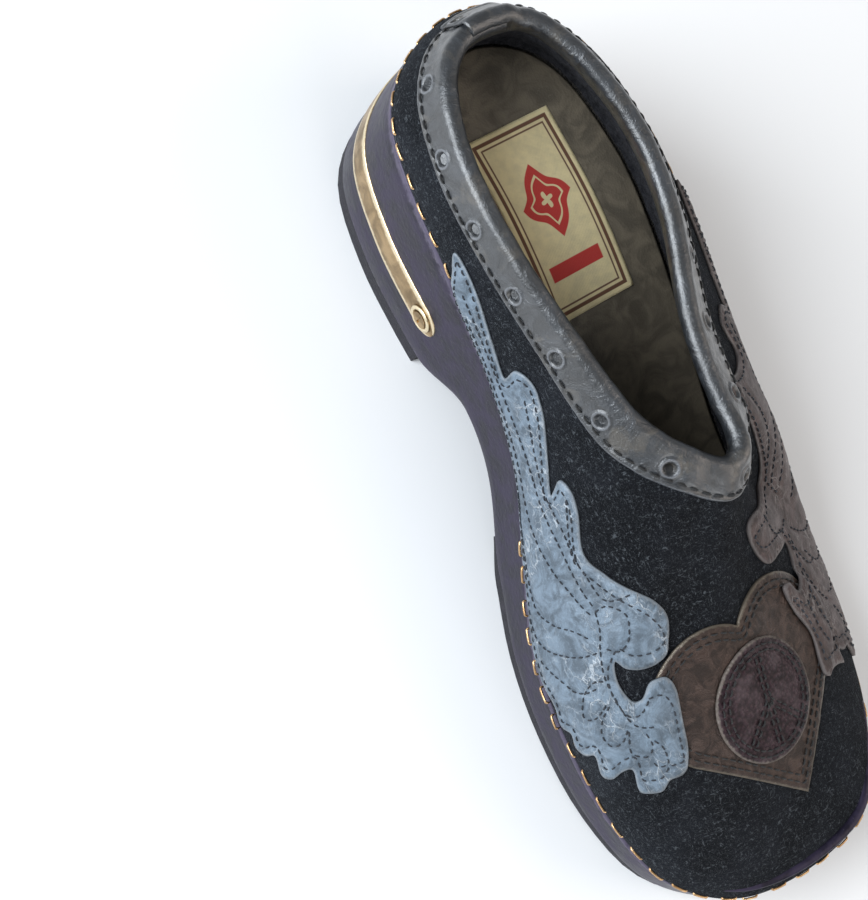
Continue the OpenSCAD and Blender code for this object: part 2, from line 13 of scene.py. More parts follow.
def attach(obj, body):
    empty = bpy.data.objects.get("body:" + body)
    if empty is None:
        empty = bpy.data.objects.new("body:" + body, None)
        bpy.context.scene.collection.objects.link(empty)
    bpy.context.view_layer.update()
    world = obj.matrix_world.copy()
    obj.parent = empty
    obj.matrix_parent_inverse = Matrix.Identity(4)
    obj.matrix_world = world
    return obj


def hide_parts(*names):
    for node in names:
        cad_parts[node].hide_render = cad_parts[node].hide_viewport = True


bl_info = {
    "name": "Wooden Clog",
    "version": (1, 0, 0),
    "blender": (4, 5, 0),
    "location": "View3D > Sidebar > Clog",
    "description": "Builds a stapled suede clog on a wooden sole, piece by piece",
    "category": "Add Mesh",
}

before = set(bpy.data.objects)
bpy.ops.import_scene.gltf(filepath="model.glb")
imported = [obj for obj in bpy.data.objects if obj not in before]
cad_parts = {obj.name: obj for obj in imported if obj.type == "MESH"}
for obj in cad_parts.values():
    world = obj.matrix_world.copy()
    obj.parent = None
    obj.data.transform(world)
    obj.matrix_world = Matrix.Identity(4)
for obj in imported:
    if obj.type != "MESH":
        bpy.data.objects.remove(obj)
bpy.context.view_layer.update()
MM = 0.001

# The rim of the sole and the topline of the upper, drawn in millimetres for a sole of
# 100 x 271 mm, from the back of the heel round the inner side to the toe and back.
RIM = [
    (-5, 134.5), (-25, 127.5), (-38.5, 112), (-42, 87), (-40.5, 61),
    (-37, 33), (-36.5, 7), (-42, -19), (-48, -44), (-50, -70),
    (-48, -97), (-40, -120), (-21.5, -134), (5, -136.5), (29, -129.5),
    (43, -107.5), (49, -81), (50.5, -52), (47.5, -25), (43, 1),
    (40.5, 29), (38, 59), (35, 87), (28, 112.5), (14.5, 128.5),
]
TOPLINE = [
    (-5, 125, 0), (-21.5, 122, 0.5), (-32, 109, 2), (-36, 87, 2.5), (-34, 61, 2.5),
    (-27.5, 33, 1.5), (-20.5, 10, 1), (-13, -1, 1), (-8.5, -5.5, 1), (-5, -8.5, 1),
    (-2, -11.2, 0.5), (0.8, -13.2, 0.5), (3.5, -14.5, 0.5), (6, -15, 0.5), (8.2, -14.5, 0.5),
    (10.2, -13.2, 0.3), (11.7, -11.2, 0), (12.7, -8.5, -0.5), (12.9, -3.8, -1), (12.1, 5.2, -1.5),
    (14.1, 27.2, -1.2), (21.8, 57.2, -0.5), (22.3, 82.2, 0), (15.8, 105.2, 0.5), (6.3, 120.7, 0),
]
STATIONS = len(RIM)
# Share of the height that rises first, outward bulge, pull towards the rim, drop.
HEEL_ZONE = np.array((0.40, 2.0, 0.05, 0.35))
BALL_ZONE = np.array((0.44, 4.0, 0.38, 0.18))
TOE_ZONE = np.array((0.30, 5.0, 0.45, 0.46))
OUTER_VAMP = np.array((0.22, 4.5, 0.18, 0.62))
# The heart's middle on the vamp, and how far its tip is turned to the outer side.
HEART_MIDDLE = (1.5, -85.0)
HEART_TURN = 11.0
# The medallion's middle from the heart's, its thickness and the turn of its emblem.
MEDALLION_MIDDLE = (-1.2, 4.8)
MEDALLION_THICKNESS = 1.4
EMBLEM_TURN = -8.0
# The middle of the woven label on the footbed and its turn.
LABEL_PLACE = (-1.5, 71.5, 7.0)
# The collar's seam, measured in from its outer edge.
SEAM_INSET = 1.6
# Stations between which a wing's tail hides the rim, so that no staple is driven.
UNSTAPLED = ((3.9, 6.6), (18.0, 21.1))
# How far one station and one full share up the side reach on the shoe, about.
WING_SQUEEZE = (25.0, 62.0)


# ---- sizes and colours ----

def length(name, default, description):
    return FloatProperty(name=name, description=description, default=default,
                         min=0, unit="LENGTH", subtype="DISTANCE", precision=4)


def colour(name, default, description):
    return FloatVectorProperty(name=name, description=description, default=default,
                               size=3, min=0, max=1, subtype="COLOR")


class ClogSizes(bpy.types.PropertyGroup):
    sole_length: length("Sole length", 0.271, "Length of the sole at its rim")
    ball_width: length("Ball width", 0.100, "Width of the sole at the ball of the foot")
    heel_height: length("Heel height", 0.0565, "Height of the rim at the heel")
    ball_height: length("Ball height", 0.020, "Height of the rim at the ball of the foot")
    toe_height: length("Toe height", 0.026, "Height of the rim at the tip of the toe")
    toe_spring: length("Toe spring", 0.008, "How far the wood lifts off the ground at the toe")
    arch_rise: length("Arch rise", 0.013, "How far the hollow under the arch rises")
    heel_breast: length("Heel breast", 0.052, "Where the heel block ends")
    heel_lift: length("Heel lift", 0.006, "Thickness of the rubber heel lift")
    tread: length("Tread", 0.004, "Thickness of the rubber tread at the ball")
    ledge: length("Ledge", 0.0022, "Step in the rim where the suede is stapled on")
    wall: length("Wall", 0.0028, "Thickness of the wooden wall inside the upper")
    wall_rise: length("Wall rise", 0.007, "Height of that wall above the rim")
    bed_depth: length("Bed depth", 0.007, "Depth of the hollow for the footbed")
    band_height: length("Band height", 0.012, "Height of the brass band")
    band_level: length("Band level", 0.026, "Height of the band's middle above the ground")
    band_end: length("Band end", 0.060, "Where the band's round ends are centred")
    eyelet: length("Eyelet", 0.0046, "Outer radius of the eyelet in each band end")
    collar_rise: length("Collar rise", 0.022, "Height of the topline above the heel's rim")
    suede: length("Suede", 0.0016, "Thickness of the suede")
    fleece: length("Fleece", 0.0034, "Thickness of the fleece lining at the footbed")
    fleece_top: length("Fleece top", 0.0015, "Thickness of the fleece under the collar")
    collar_width: length("Collar width", 0.010, "Width of the collar on the outside")
    collar_inner: length("Collar inside", 0.004, "Width of the collar on the inside")
    collar_leather: length("Collar leather", 0.0011, "Thickness of the collar leather")
    hole: length("Punched hole", 0.0017, "Radius of the punched holes")
    hole_count: IntProperty(name="Punched holes", description="Number of punched holes",
                            default=16, min=4, max=40)
    patch: length("Patch", 0.0014, "Thickness of the wings and the heart")
    medallion: length("Medallion", 0.018, "Radius of the medallion")
    heart_half: length("Heart", 0.0285, "Half the width of the heart across its corners")
    staple: length("Staple", 0.0046, "Length of a staple's crown")
    wire: length("Staple wire", 0.0008, "Thickness of the staple wire")
    foam: length("Foam", 0.004, "Thickness of the foam under the footbed")
    cover: length("Footbed cover", 0.0014, "Thickness of the footbed cover")
    label_width: length("Label width", 0.030, "Width of the woven label")
    label_length: length("Label length", 0.058, "Length of the woven label")


class ClogColours(bpy.types.PropertyGroup):
    lacquer: colour("Lacquer", (0.0045, 0.004, 0.0075), "Black lacquer on the wood")
    suede: colour("Suede", (0.0045, 0.005, 0.0065), "Nap of the suede")
    wing: colour("Wing leather", (0.115, 0.152, 0.192), "Distressed blue-grey leather")
    # Painted shade: a darker, browner copy of the wing colour for the outer wing, standing in for
    # the dimmer, warmer light on that side.
    wing_painted_shade: colour("Wing shade", (0.056, 0.036, 0.034), "Browner leather of the outer wing")
    heart: colour("Heart leather", (0.038, 0.024, 0.019), "Dark pewter leather")
    medallion: colour("Medallion leather", (0.021, 0.008, 0.012), "Pebbled dark leather")
    collar: colour("Collar leather", (0.016, 0.018, 0.021), "Blue-black glossy leather")
    # Bronze glint: the colour of a painted glint of light on the glossy collar.
    bronze: colour("Bronze glint", (0.10, 0.085, 0.065), "Worn bronze sheen on the collar")
    brass: colour("Brass", (0.50, 0.34, 0.17), "Aged brass")
    footbed: colour("Footbed", (0.120, 0.100, 0.072), "Olive-brown footbed leather")
    label: colour("Label", (0.98, 0.82, 0.46), "Cream ground of the woven label")
    label_border: colour("Label border", (0.16, 0.06, 0.025), "Brown border of the label")
    ornament: colour("Ornament", (0.62, 0.035, 0.025), "Red ornament of the label")
    floor: colour("Floor", (0.90, 0.90, 0.90), "Studio floor")


# ---- the last: the form that every piece of the upper is made around, in millimetres ----

def smooth(low, high, value):
    t = np.clip((value - low) / (high - low), 0.0, 1.0)
    return t * t * (3 - 2 * t)


def spline(points, station):
    """Points on the closed curve through points, at the given stations."""
    n = len(points)
    w = np.asarray(station, float) % n
    i = np.floor(w).astype(int)
    t = (w - i)[..., None]
    a, b, c, d = (points[(i + k) % n] for k in (-1, 0, 1, 2))
    return 0.5 * (2 * b + (c - a) * t + (2 * a - 5 * b + 4 * c - d) * t * t
                  + (3 * b - a - 3 * c + d) * t ** 3)


def unit(v):
    return v / np.linalg.norm(v, axis=-1, keepdims=True)


class Last:
    def __init__(self, sizes):
        mm = {p: getattr(sizes, p) / MM for p in ClogSizes.__annotations__}
        self.mm = mm
        self.holes = sizes.hole_count
        self.sx = mm["ball_width"] / 100
        self.sy = mm["sole_length"] / 271
        self.rim_points = np.array([(x * self.sx, y * self.sy, 0) for x, y in RIM])
        top = mm["heel_height"] + mm["collar_rise"]
        self.top_points = np.array([(x * self.sx, y * self.sy, top + z) for x, y, z in TOPLINE])
        self.gap = 0.15

    def rim_z(self, y):
        mm, ball = self.mm, -48 * self.sy
        back = mm["ball_height"] + (mm["heel_height"] - mm["ball_height"]) * smooth(
            -55 * self.sy, 85 * self.sy, y)
        front = mm["ball_height"] + (mm["toe_height"] - mm["ball_height"]) * (
            (ball - y) / (86 * self.sy)) ** 2
        return np.where(y > ball, back, front)

    def wood_z(self, y):
        mm, ball, arch_end = self.mm, -48 * self.sy, -20 * self.sy
        s = (mm["heel_breast"] - y) / (mm["heel_breast"] - arch_end)
        arch = (mm["tread"] + (mm["heel_lift"] - mm["tread"]) * (1 - s)
                + mm["arch_rise"] * smooth(0, 0.3, s) * (1 - smooth(0.3, 1, s)))
        toe = mm["tread"] + mm["toe_spring"] * ((ball - y) / (86 * self.sy)) ** 2
        z = np.where(y >= mm["heel_breast"], mm["heel_lift"], arch)
        z = np.where(y <= arch_end, mm["tread"], z)
        return np.where(y <= ball, toe, z)

    def outward(self, u):
        u = np.asarray(u, float)
        d = spline(self.rim_points, u + 0.05) - spline(self.rim_points, u - 0.05)
        return unit(np.stack((d[..., 1], -d[..., 0], 0 * d[..., 0]), -1))

    def rim(self, u, inset=0.0):
        p = spline(self.rim_points, u) - self.outward(u) * np.asarray(inset)[..., None]
        p[..., 2] = self.rim_z(p[..., 1])
        return p

    def zone(self, y):
        w = (1 - smooth(-23 * self.sy, 77 * self.sy, y))[..., None]
        v = (1 - smooth(-128 * self.sy, -63 * self.sy, y))[..., None]
        return HEEL_ZONE * (1 - w) + (BALL_ZONE * (1 - v) + TOE_ZONE * v) * w

    def arch(self, u, v, foot, top):
        z = self.zone(spline(self.rim_points, u)[..., 1])
        w = (smooth(11, 14, u) * (1 - smooth(16.5, 19, u)))[..., None]
        z = z * (1 - w) + OUTER_VAMP * w
        h = top[..., 2] - foot[..., 2]
        a = foot + self.outward(u) * z[..., 1:2]
        a[..., 2] += z[..., 0] * h
        b = top + (foot - top) * z[..., 2:3]
        b[..., 2] = top[..., 2] - z[..., 3] * h
        v = np.asarray(v)[..., None]
        w = 1 - v
        return w ** 3 * foot + 3 * w * w * v * a + 3 * w * v * v * b + v ** 3 * top

    def face(self, u, v):
        u, v = np.broadcast_arrays(np.asarray(u, float), np.asarray(v, float))
        return self.arch(u, v, self.rim(u), spline(self.top_points, u))

    def normal(self, u, v, face=None):
        face = face or self.face
        u, v = np.broadcast_arrays(np.asarray(u, float), np.asarray(v, float))
        w = np.minimum(v, 0.99)
        du = face(u + 0.04, w) - face(u - 0.04, w)
        dv = face(u, w + 0.01) - face(u, np.maximum(0, w - 0.01))
        return unit(np.cross(du, dv))

    def skin(self, u, v, off):
        return self.face(u, v) + self.normal(u, v) * np.asarray(off)[..., None]

    def lining_face(self, u, v):
        mm = self.mm
        u, v = np.broadcast_arrays(np.asarray(u, float), np.asarray(v, float))
        foot = self.rim(u, mm["ledge"] + mm["wall"] + 1.2)
        foot[..., 2] -= 1
        return self.arch(u, v, foot, self.skin(u, np.ones_like(u), -mm["suede"] - self.gap))

    def lining(self, u, v, off):
        return (self.lining_face(u, v)
                + self.normal(u, v, self.lining_face) * np.asarray(off)[..., None])

    def top_speed(self, u):
        return np.linalg.norm(self.face(u, 1.0) - self.face(u, 0.94), axis=-1) / 0.06

    def collar_point(self, u, drop, off):
        """A point drop below the topline, or above it where drop is negative."""
        v = np.where(drop >= 0, 1 - drop / self.top_speed(u), 1.0)
        up = unit(self.face(u, np.ones_like(u)) - self.face(u, 0.94 * np.ones_like(u)))
        return self.skin(u, v, off) + up * np.maximum(0, -drop)[..., None]

    def even_stations(self, count):
        """Stations spaced evenly along the topline."""
        fine = np.linspace(0, STATIONS, 2001)
        steps = np.linalg.norm(np.diff(spline(self.top_points, fine), axis=0), axis=1)
        run = np.concatenate(([0], np.cumsum(steps)))
        return np.interp(np.arange(count) * run[-1] / count, run, fine)

    def station_at(self, y, low, high):
        us = np.linspace(low, high, 400)
        return us[np.argmin(abs(spline(self.rim_points, us)[:, 1] - y))]

    def vault(self, x, y, off):
        """Points on the vamp above points of the heart's own plane, found in steps from
        the middle of the vamp, and the normals there."""
        x, y = np.broadcast_arrays(np.asarray(x, float), np.asarray(y, float))
        u, v = 12.75 * np.ones_like(x), 0.56 * np.ones_like(x)
        turn = math.radians(HEART_TURN)
        plan = (HEART_MIDDLE[0] * self.sx + x * math.cos(turn) - y * math.sin(turn),
                HEART_MIDDLE[1] * self.sy + x * math.sin(turn) + y * math.cos(turn))
        for _ in range(12):
            p = self.face(u, v)
            du = (self.face(u + 0.1, v) - self.face(u - 0.1, v)) / 0.2
            dv = (self.face(u, v + 0.02) - self.face(u, v - 0.02)) / 0.04
            det = du[..., 0] * dv[..., 1] - du[..., 1] * dv[..., 0]
            ex, ey = plan[0] - p[..., 0], plan[1] - p[..., 1]
            u = u + (ex * dv[..., 1] - ey * dv[..., 0]) / det
            v = v + (du[..., 0] * ey - du[..., 1] * ex) / det
        return self.skin(u, v, off), self.normal(u, v)


def last():
    return Last(bpy.context.scene.clog_sizes)


def paints():
    return bpy.context.scene.clog_colours


# ---- mesh making ----

def make_piece(name, points, faces, material, node, wear=None):
    """A mesh in millimetres becomes a piece of the clog that stands for a CAD node."""
    mesh = bpy.data.meshes.new(name)
    mesh.from_pydata((np.asarray(points, float) * MM).tolist(), [], [list(f) for f in faces])
    mesh.validate()
    bm = bmesh.new()
    bm.from_mesh(mesh)
    bmesh.ops.recalc_face_normals(bm, faces=bm.faces)
    bm.to_mesh(mesh)
    bm.free()
    mesh.polygons.foreach_set("use_smooth", [True] * len(mesh.polygons))
    if wear is not None:
        layer = mesh.attributes.new("wear", "FLOAT", "POINT")
        layer.data.foreach_set("value", np.asarray(wear, np.float32))
    mesh.materials.append(material)
    piece = bpy.data.objects.new(name, mesh)
    bpy.context.scene.collection.objects.link(piece)
    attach(piece, "root")
    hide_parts(node)
    return piece


def grid(rows, columns, wrap_rows=False, wrap_columns=False, first=0):
    """Quads over a grid of points that is stored row by row."""
    faces = []
    for i in range(rows if wrap_rows else rows - 1):
        for j in range(columns if wrap_columns else columns - 1):
            a, b = i * columns, ((i + 1) % rows) * columns
            k = (j + 1) % columns
            faces.append((first + a + j, first + b + j, first + b + k, first + a + k))
    return faces


def ripple(points, scale, seed=0.0):
    """Gentle unevenness, one number per point, from -1 to 1."""
    shift = Vector((seed, seed * 1.7, seed * 0.3))
    return np.array([noise.noise(Vector(p) / scale + shift) for p in points])


class Threads:
    """Collects many short rounded bars, such as stitches, in one mesh."""

    def __init__(self, sides=6):
        self.points, self.faces, self.sides = [], [], sides

    def bar(self, path, normals, radius, flat=1.0):
        path, normals = np.asarray(path, float), np.asarray(normals, float)
        tangents = unit(np.gradient(path, axis=0))
        across = unit(np.cross(tangents, normals))
        up = np.cross(across, tangents)
        n, first = self.sides, len(self.points)
        swell = np.ones(len(path))
        swell[0] = swell[-1] = 0.45
        for p, a, b, s in zip(path, across, up, swell):
            for k in range(n):
                t = 2 * math.pi * k / n
                self.points.append(p + radius * s * (a * math.cos(t) + b * flat * math.sin(t)))
        self.faces += grid(len(path), n, wrap_columns=True, first=first)
        end = first + (len(path) - 1) * n
        self.faces += [tuple(first + k for k in range(n)), tuple(end + k for k in range(n))[::-1]]

    def seam(self, path, normals, pitch, stitch, radius, lift, rng):
        """Stitches along a line that is given as many close points."""
        path, normals = np.asarray(path, float), np.asarray(normals, float)
        run = np.concatenate(([0], np.cumsum(np.linalg.norm(np.diff(path, axis=0), axis=1))))
        count = max(1, int(run[-1] / pitch))
        step = run[-1] / count
        for i in range(count):
            start = (i + 0.5) * step - stitch / 2
            start += rng.uniform(-0.08, 0.08) * pitch
            s = start + stitch * np.linspace(0, 1, 6)
            p = np.stack([np.interp(s, run, path[:, k]) for k in range(3)], -1)
            m = unit(np.stack([np.interp(s, run, normals[:, k]) for k in range(3)], -1))
            arch = np.array((-0.9, 0.45, 0.8, 0.8, 0.45, -0.9)) * radius
            self.bar(p + m * (arch + lift)[:, None], m, radius)


def lathe(profile, centre, axis, count):
    """A turned form: profile pairs of radius and height along axis."""
    axis = unit(np.asarray(axis, float))
    side = unit(np.cross(axis, (0, 0, 1.0)))
    other = np.cross(axis, side)
    points = []
    for r, h in profile:
        for k in range(count):
            t = 2 * math.pi * k / count
            points.append(centre + axis * h + r * (side * math.cos(t) + other * math.sin(t)))
    return points, grid(len(profile), count, wrap_columns=True)


def closed_line(points, per_segment):
    """A smooth closed outline through chosen points."""
    pts = np.array([(x, y, 0.0) for x, y in points])
    return spline(pts, np.arange(len(pts) * per_segment) / per_segment)[:, :2]


def open_line(points, per_segment=14):
    """A smooth open line through chosen points."""
    pts = np.array([(x, y, 0.0) for x, y in points])
    pts = np.concatenate((2 * pts[:1] - pts[1:2], pts, 2 * pts[-1:] - pts[-2:-1]))
    n = len(points) - 1
    return spline(pts, 1 + np.arange(n * per_segment + 1) * 0.99999 / per_segment)[:, :2]


def inside(points, outline):
    """Which points lie inside a closed outline."""
    x, y = points[:, 0:1], points[:, 1:2]
    x0, y0 = outline[:, 0], outline[:, 1]
    x1, y1 = np.roll(x0, -1), np.roll(y0, -1)
    crosses = ((y0 <= y) != (y1 <= y)) & (
        x < x0 + (y - y0) * (x1 - x0) / np.where(y1 == y0, 1e-9, y1 - y0))
    return crosses.sum(1) % 2 == 1


def line_distance(points, line, closed=False):
    """Distance of each point to a polyline; both are arrays of points."""
    a = line
    b = np.roll(line, -1, 0) if closed else line[1:]
    a = a if closed else a[:-1]
    d = b - a
    best = np.full(len(points), 1e9)
    for p, q in zip(a, d):
        t = np.clip(((points - p) @ q) / max(1e-12, q @ q), 0, 1)
        best = np.minimum(best, np.linalg.norm(points - (p + t[:, None] * q), axis=1))
    return best


def cut_leather(outline, pitch, squeeze):
    """Triangles that fill an outline, and which of its points are on the edge.
    squeeze scales the pattern's two directions so that the mesh is even on the shoe."""
    flat = outline * squeeze
    low, high = flat.min(0), flat.max(0)
    xs, ys = np.meshgrid(np.arange(low[0], high[0], pitch),
                         np.arange(low[1], high[1], pitch * 0.87), indexing="ij")
    xs = xs + (np.arange(xs.shape[1]) % 2) * pitch / 2
    cells = np.stack((xs.ravel(), ys.ravel()), -1)
    cells = cells[inside(cells, flat)]
    cells = cells[line_distance(cells, flat, True) > 0.45 * pitch]
    points = [Vector(p) for p in np.concatenate((flat, cells))]
    ring = list(range(len(flat)))
    out = geometry.delaunay_2d_cdt(points, [], [ring], 1, 1e-6)
    coords = np.array([tuple(p) for p in out[0]])
    return coords / squeeze, [tuple(f) for f in out[2]]


def applique(shape, place, under, thickness, seams, puff=0.45, edge=1.0, pitch=1.1,
             squeeze=WING_SQUEEZE):
    """A cut and stitched piece of leather that lies on the upper.
    place maps pattern points and a height to the shoe. Returns points, faces, wear."""
    squeeze = np.array(squeeze)
    flat, faces = cut_leather(shape, pitch, squeeze)
    base = place(flat, np.zeros(len(flat)))[0]
    rim = place(shape, np.zeros(len(shape)))[0]
    to_edge = line_distance(base, rim, True)
    to_seam = np.full(len(flat), 9.0)
    for seam in seams:
        to_seam = np.minimum(to_seam, line_distance(base, place(seam, np.zeros(len(seam)))[0]))
    height = under + thickness + puff * (1 - np.exp(-(to_seam / 1.3) ** 2)) - 0.35
    height -= (thickness * 0.45) * np.exp(-(to_edge / edge) ** 2)
    height += 0.16 * ripple(base, 4.5, 3.1) + 0.10 * ripple(base, 1.9, 7.7)
    upper = place(flat, height)[0]
    lower = place(flat, np.full(len(flat), under))[0]
    n = len(flat)
    border = {}
    for f in faces:
        for a, b in zip(f, f[1:] + f[:1]):
            border[(a, b)] = border.get((a, b), 0) + 1
    skirt = [(a, b, b + n, a + n) for (a, b) in border if (b, a) not in border]
    both = [tuple(f) for f in faces] + [tuple(i + n for i in reversed(f)) for f in faces]
    wear = np.maximum(np.exp(-(to_edge / 0.9) ** 2), 0.35 * np.exp(-(to_seam / 0.7) ** 2))
    return np.concatenate((upper, lower)), both + skirt, np.concatenate((wear, wear * 0 + 1))


# ---- finishes ----

class Brush:
    """Adds nodes to a material or a group and joins them."""

    def __init__(self, tree):
        self.tree = tree

    def put(self, socket, value):
        if isinstance(value, bpy.types.NodeSocket):
            self.tree.links.new(value, socket)
        elif hasattr(value, "__len__") and socket.type == "RGBA":
            socket.default_value = (*tuple(value)[:3], 1)
        else:
            socket.default_value = value

    def node(self, kind, inputs=(), **settings):
        n = self.tree.nodes.new("ShaderNode" + kind)
        for key, value in settings.items():
            setattr(n, key, value)
        for key, value in dict(inputs).items():
            self.put(n.inputs[key], value)
        return n

    def place(self, stretch=(1, 1, 1), turn=0.0):
        """Position on the piece in millimetres, stretched and turned about Z."""
        where = self.node("TexCoord").outputs["Object"]
        return self.node("Mapping", {
            "Vector": where, "Rotation": (0, 0, turn),
            "Scale": [1000 * s for s in stretch]}).outputs[0]

    def noise(self, where, scale, detail=3.0, rough=0.55, warp=0.0):
        return self.node("TexNoise", {
            "Vector": where, "Scale": scale, "Detail": detail, "Roughness": rough,
            "Distortion": warp}).outputs[0]

    def cells(self, where, scale, feature="F1"):
        n = self.node("TexVoronoi", {"Vector": where, "Scale": scale}, feature=feature)
        return n.outputs["Distance"]

    def span(self, value, low, high, out_low=0.0, out_high=1.0):
        return self.node("MapRange", {
            "Value": value, "From Min": low, "From Max": high, "To Min": out_low,
            "To Max": out_high}, interpolation_type="SMOOTHSTEP").outputs[0]

    def math(self, operation, a, b=0.0):
        return self.node("Math", {0: a, 1: b}, operation=operation).outputs[0]

    def mix(self, share, a, b):
        return self.node("Mix", {0: share, 6: a, 7: b}, data_type="RGBA").outputs[2]

    def bump(self, height, depth):
        """Bumps that are depth millimetres deep."""
        return self.node("Bump", {
            "Height": height, "Distance": depth * MM, "Strength": 1.0}).outputs[0]

    def group(self, tree, **inputs):
        n = self.node("Group", node_tree=tree)
        for key, value in inputs.items():
            self.put(n.inputs[key.replace("_", " ")], value)
        return n.outputs


def effect(name, inputs, outputs, paint):
    """A node group made once; paint(brush, inputs) returns its outputs' sockets."""
    if name in bpy.data.node_groups:
        return bpy.data.node_groups[name]
    tree = bpy.data.node_groups.new(name, "ShaderNodeTree")
    for key, default in inputs.items():
        socket = tree.interface.new_socket(key, in_out="INPUT", socket_type="NodeSocketFloat")
        socket.default_value = default
    for key in outputs:
        tree.interface.new_socket(key, in_out="OUTPUT", socket_type="NodeSocketFloat")
    brush = Brush(tree)
    source = tree.nodes.new("NodeGroupInput")
    sink = tree.nodes.new("NodeGroupOutput")
    for key, value in zip(outputs, paint(brush, source.outputs)):
        brush.put(sink.inputs[key], value)
    return tree


def leather_grain():
    """Fine pores and soft wrinkles of a hide."""
    def paint(b, i):
        where = b.place()
        pores = b.cells(where, i["Pores"])
        fine = b.noise(where, i["Pores"], 5, 0.6)
        folds = b.noise(where, i["Folds"], 4, 0.6, 1.2)
        height = b.math("ADD", b.math("MULTIPLY", pores, 0.5), b.math("MULTIPLY", fine, 0.5))
        ridge = b.math("SUBTRACT", 1.0, b.math("ABSOLUTE", b.math(
            "MULTIPLY", b.math("SUBTRACT", folds, 0.5), 5.0)))
        return height, ridge, folds
    return effect("Leather Grain", {"Pores": 1.5, "Folds": 0.2},
                  ["Height", "Ridges", "Patches"], paint)


def leather_cracks():
    """A net of long cracks that comes and goes."""
    def paint(b, i):
        where = b.place((1, 0.55, 1), 0.5)
        bend = b.node("TexNoise", {"Vector": where, "Scale": 0.35, "Detail": 3.0})
        moved = b.node("VectorMath", {0: where, 1: b.node("VectorMath", {
            0: bend.outputs["Color"], 3: 4.0}, operation="SCALE").outputs[0]},
            operation="ADD").outputs[0]
        edge = b.cells(moved, i["Scale"], "DISTANCE_TO_EDGE")
        line = b.span(edge, 0.0, i["Width"], 1.0, 0.0)
        shows = b.span(b.noise(where, 0.11, 3), 0.42, 0.62)
        return (b.math("MULTIPLY", line, shows),)
    return effect("Leather Cracks", {"Scale": 0.16, "Width": 0.06}, ["Mask"], paint)


def fibres():
    """Short bright flecks that lie every way, and the nap between them."""
    def paint(b, i):
        first = b.noise(b.place((1, 0.35, 1), 0.6), i["Scale"], 3, 0.6, 1.4)
        second = b.noise(b.place((0.35, 1, 1), 0.2), i["Scale"], 3, 0.6, 1.4)
        most = b.math("MAXIMUM", first, second)
        fleck = b.span(most, i["Start"], b.math("ADD", i["Start"], 0.12))
        return fleck, most
    return effect("Fibres", {"Scale": 1.1, "Start": 0.62}, ["Flecks", "Nap"], paint)


def edge_wear_and_highlight():
    """Where a cut edge or a seam has rubbed, broken up by noise; on the sole the same layer
    carries a painted highlight along its edges.
    """
    def paint(b, i):
        wear = b.node("Attribute", attribute_name="wear").outputs["Fac"]
        broken = b.noise(b.place(), i["Scale"], 4, 0.65)
        worn_and_lit = b.span(b.math("ADD", wear, b.math(
            "MULTIPLY", b.math("SUBTRACT", broken, 0.5), 0.8)), 0.45, 0.85)
        return worn_and_lit, wear
    return effect("Edge Wear and Highlight", {"Scale": 0.8}, ["Worn", "Edge"], paint)


def fine_scratches():
    """Thin random scratches and smudges of handled metal or lacquer; the smudge noise also masks
    the painted purple sheen on the lacquer and the painted glint on the collar.
    """
    def paint(b, i):
        one = b.noise(b.place((0.06, 1.6, 1), 0.35), i["Scale"], 4, 0.7)
        two = b.noise(b.place((1.6, 0.06, 1), 0.9), i["Scale"], 4, 0.7)
        lines = b.math("MAXIMUM", b.span(one, 0.60, 0.68), b.span(two, 0.61, 0.69))
        return lines, b.noise(b.place(), 0.12, 4, 0.6, 0.6)
    return effect("Fine Scratches", {"Scale": 1.5}, ["Lines", "Smudge and Sheen"], paint)


def finish_material(name, paint):
    """A material made once; paint(brush) returns the Principled BSDF's inputs."""
    if name in bpy.data.materials:
        return bpy.data.materials[name]
    material = bpy.data.materials.new(name)
    material.use_nodes = True
    tree = material.node_tree
    tree.nodes.clear()
    brush = Brush(tree)
    shader = brush.node("BsdfPrincipled", paint(brush))
    output = tree.nodes.new("ShaderNodeOutputMaterial")
    tree.links.new(shader.outputs[0], output.inputs[0])
    return material


def shade(tone, factor):
    return tuple(min(1.0, c * factor) for c in tone)


def lacquered_wood():
    def paint(b):
        base = tuple(paints().lacquer)
        lines = b.group(fine_scratches(), Scale=0.8)
        specks = b.span(b.cells(b.place(), 0.9), 0.10, 0.20, 1.0, 0.0)
        dusty = b.math("MULTIPLY", specks, b.span(b.noise(b.place(), 0.25, 3), 0.45, 0.7))
        # Lighter purple patches where the smudge noise is high: a painted purple-blue sheen on
        # the lacquer.
        tint = b.mix(b.span(lines["Smudge and Sheen"], 0.35, 0.65), base, (0.024, 0.019, 0.036))
        tint = b.mix(b.math("MULTIPLY", dusty, 0.5), tint, (0.10, 0.085, 0.13))
        # Lighter lacquer along the lower edge and the rim: a painted highlight on those edges.
        worn_and_lit = b.group(edge_wear_and_highlight(), Scale=0.5)["Worn"]
        tint = b.mix(b.math("MULTIPLY", worn_and_lit, 0.5), tint, (0.16, 0.14, 0.19))
        rough = b.span(lines["Smudge and Sheen"], 0.3, 0.7, 0.34, 0.50)
        peel = b.math("ADD", b.noise(b.place(), 0.5, 3), b.math("MULTIPLY", dusty, 0.4))
        return {"Base Color": tint, "Roughness": rough, "Normal": b.bump(peel, 0.18),
                "Coat Weight": 0.06, "Coat Roughness": 0.25, "Coat Tint": (0.72, 0.66, 1, 1),
                "Specular IOR Level": 0.26, "Specular Tint": (0.80, 0.74, 1, 1)}
    return finish_material("Lacquered Wood", paint)


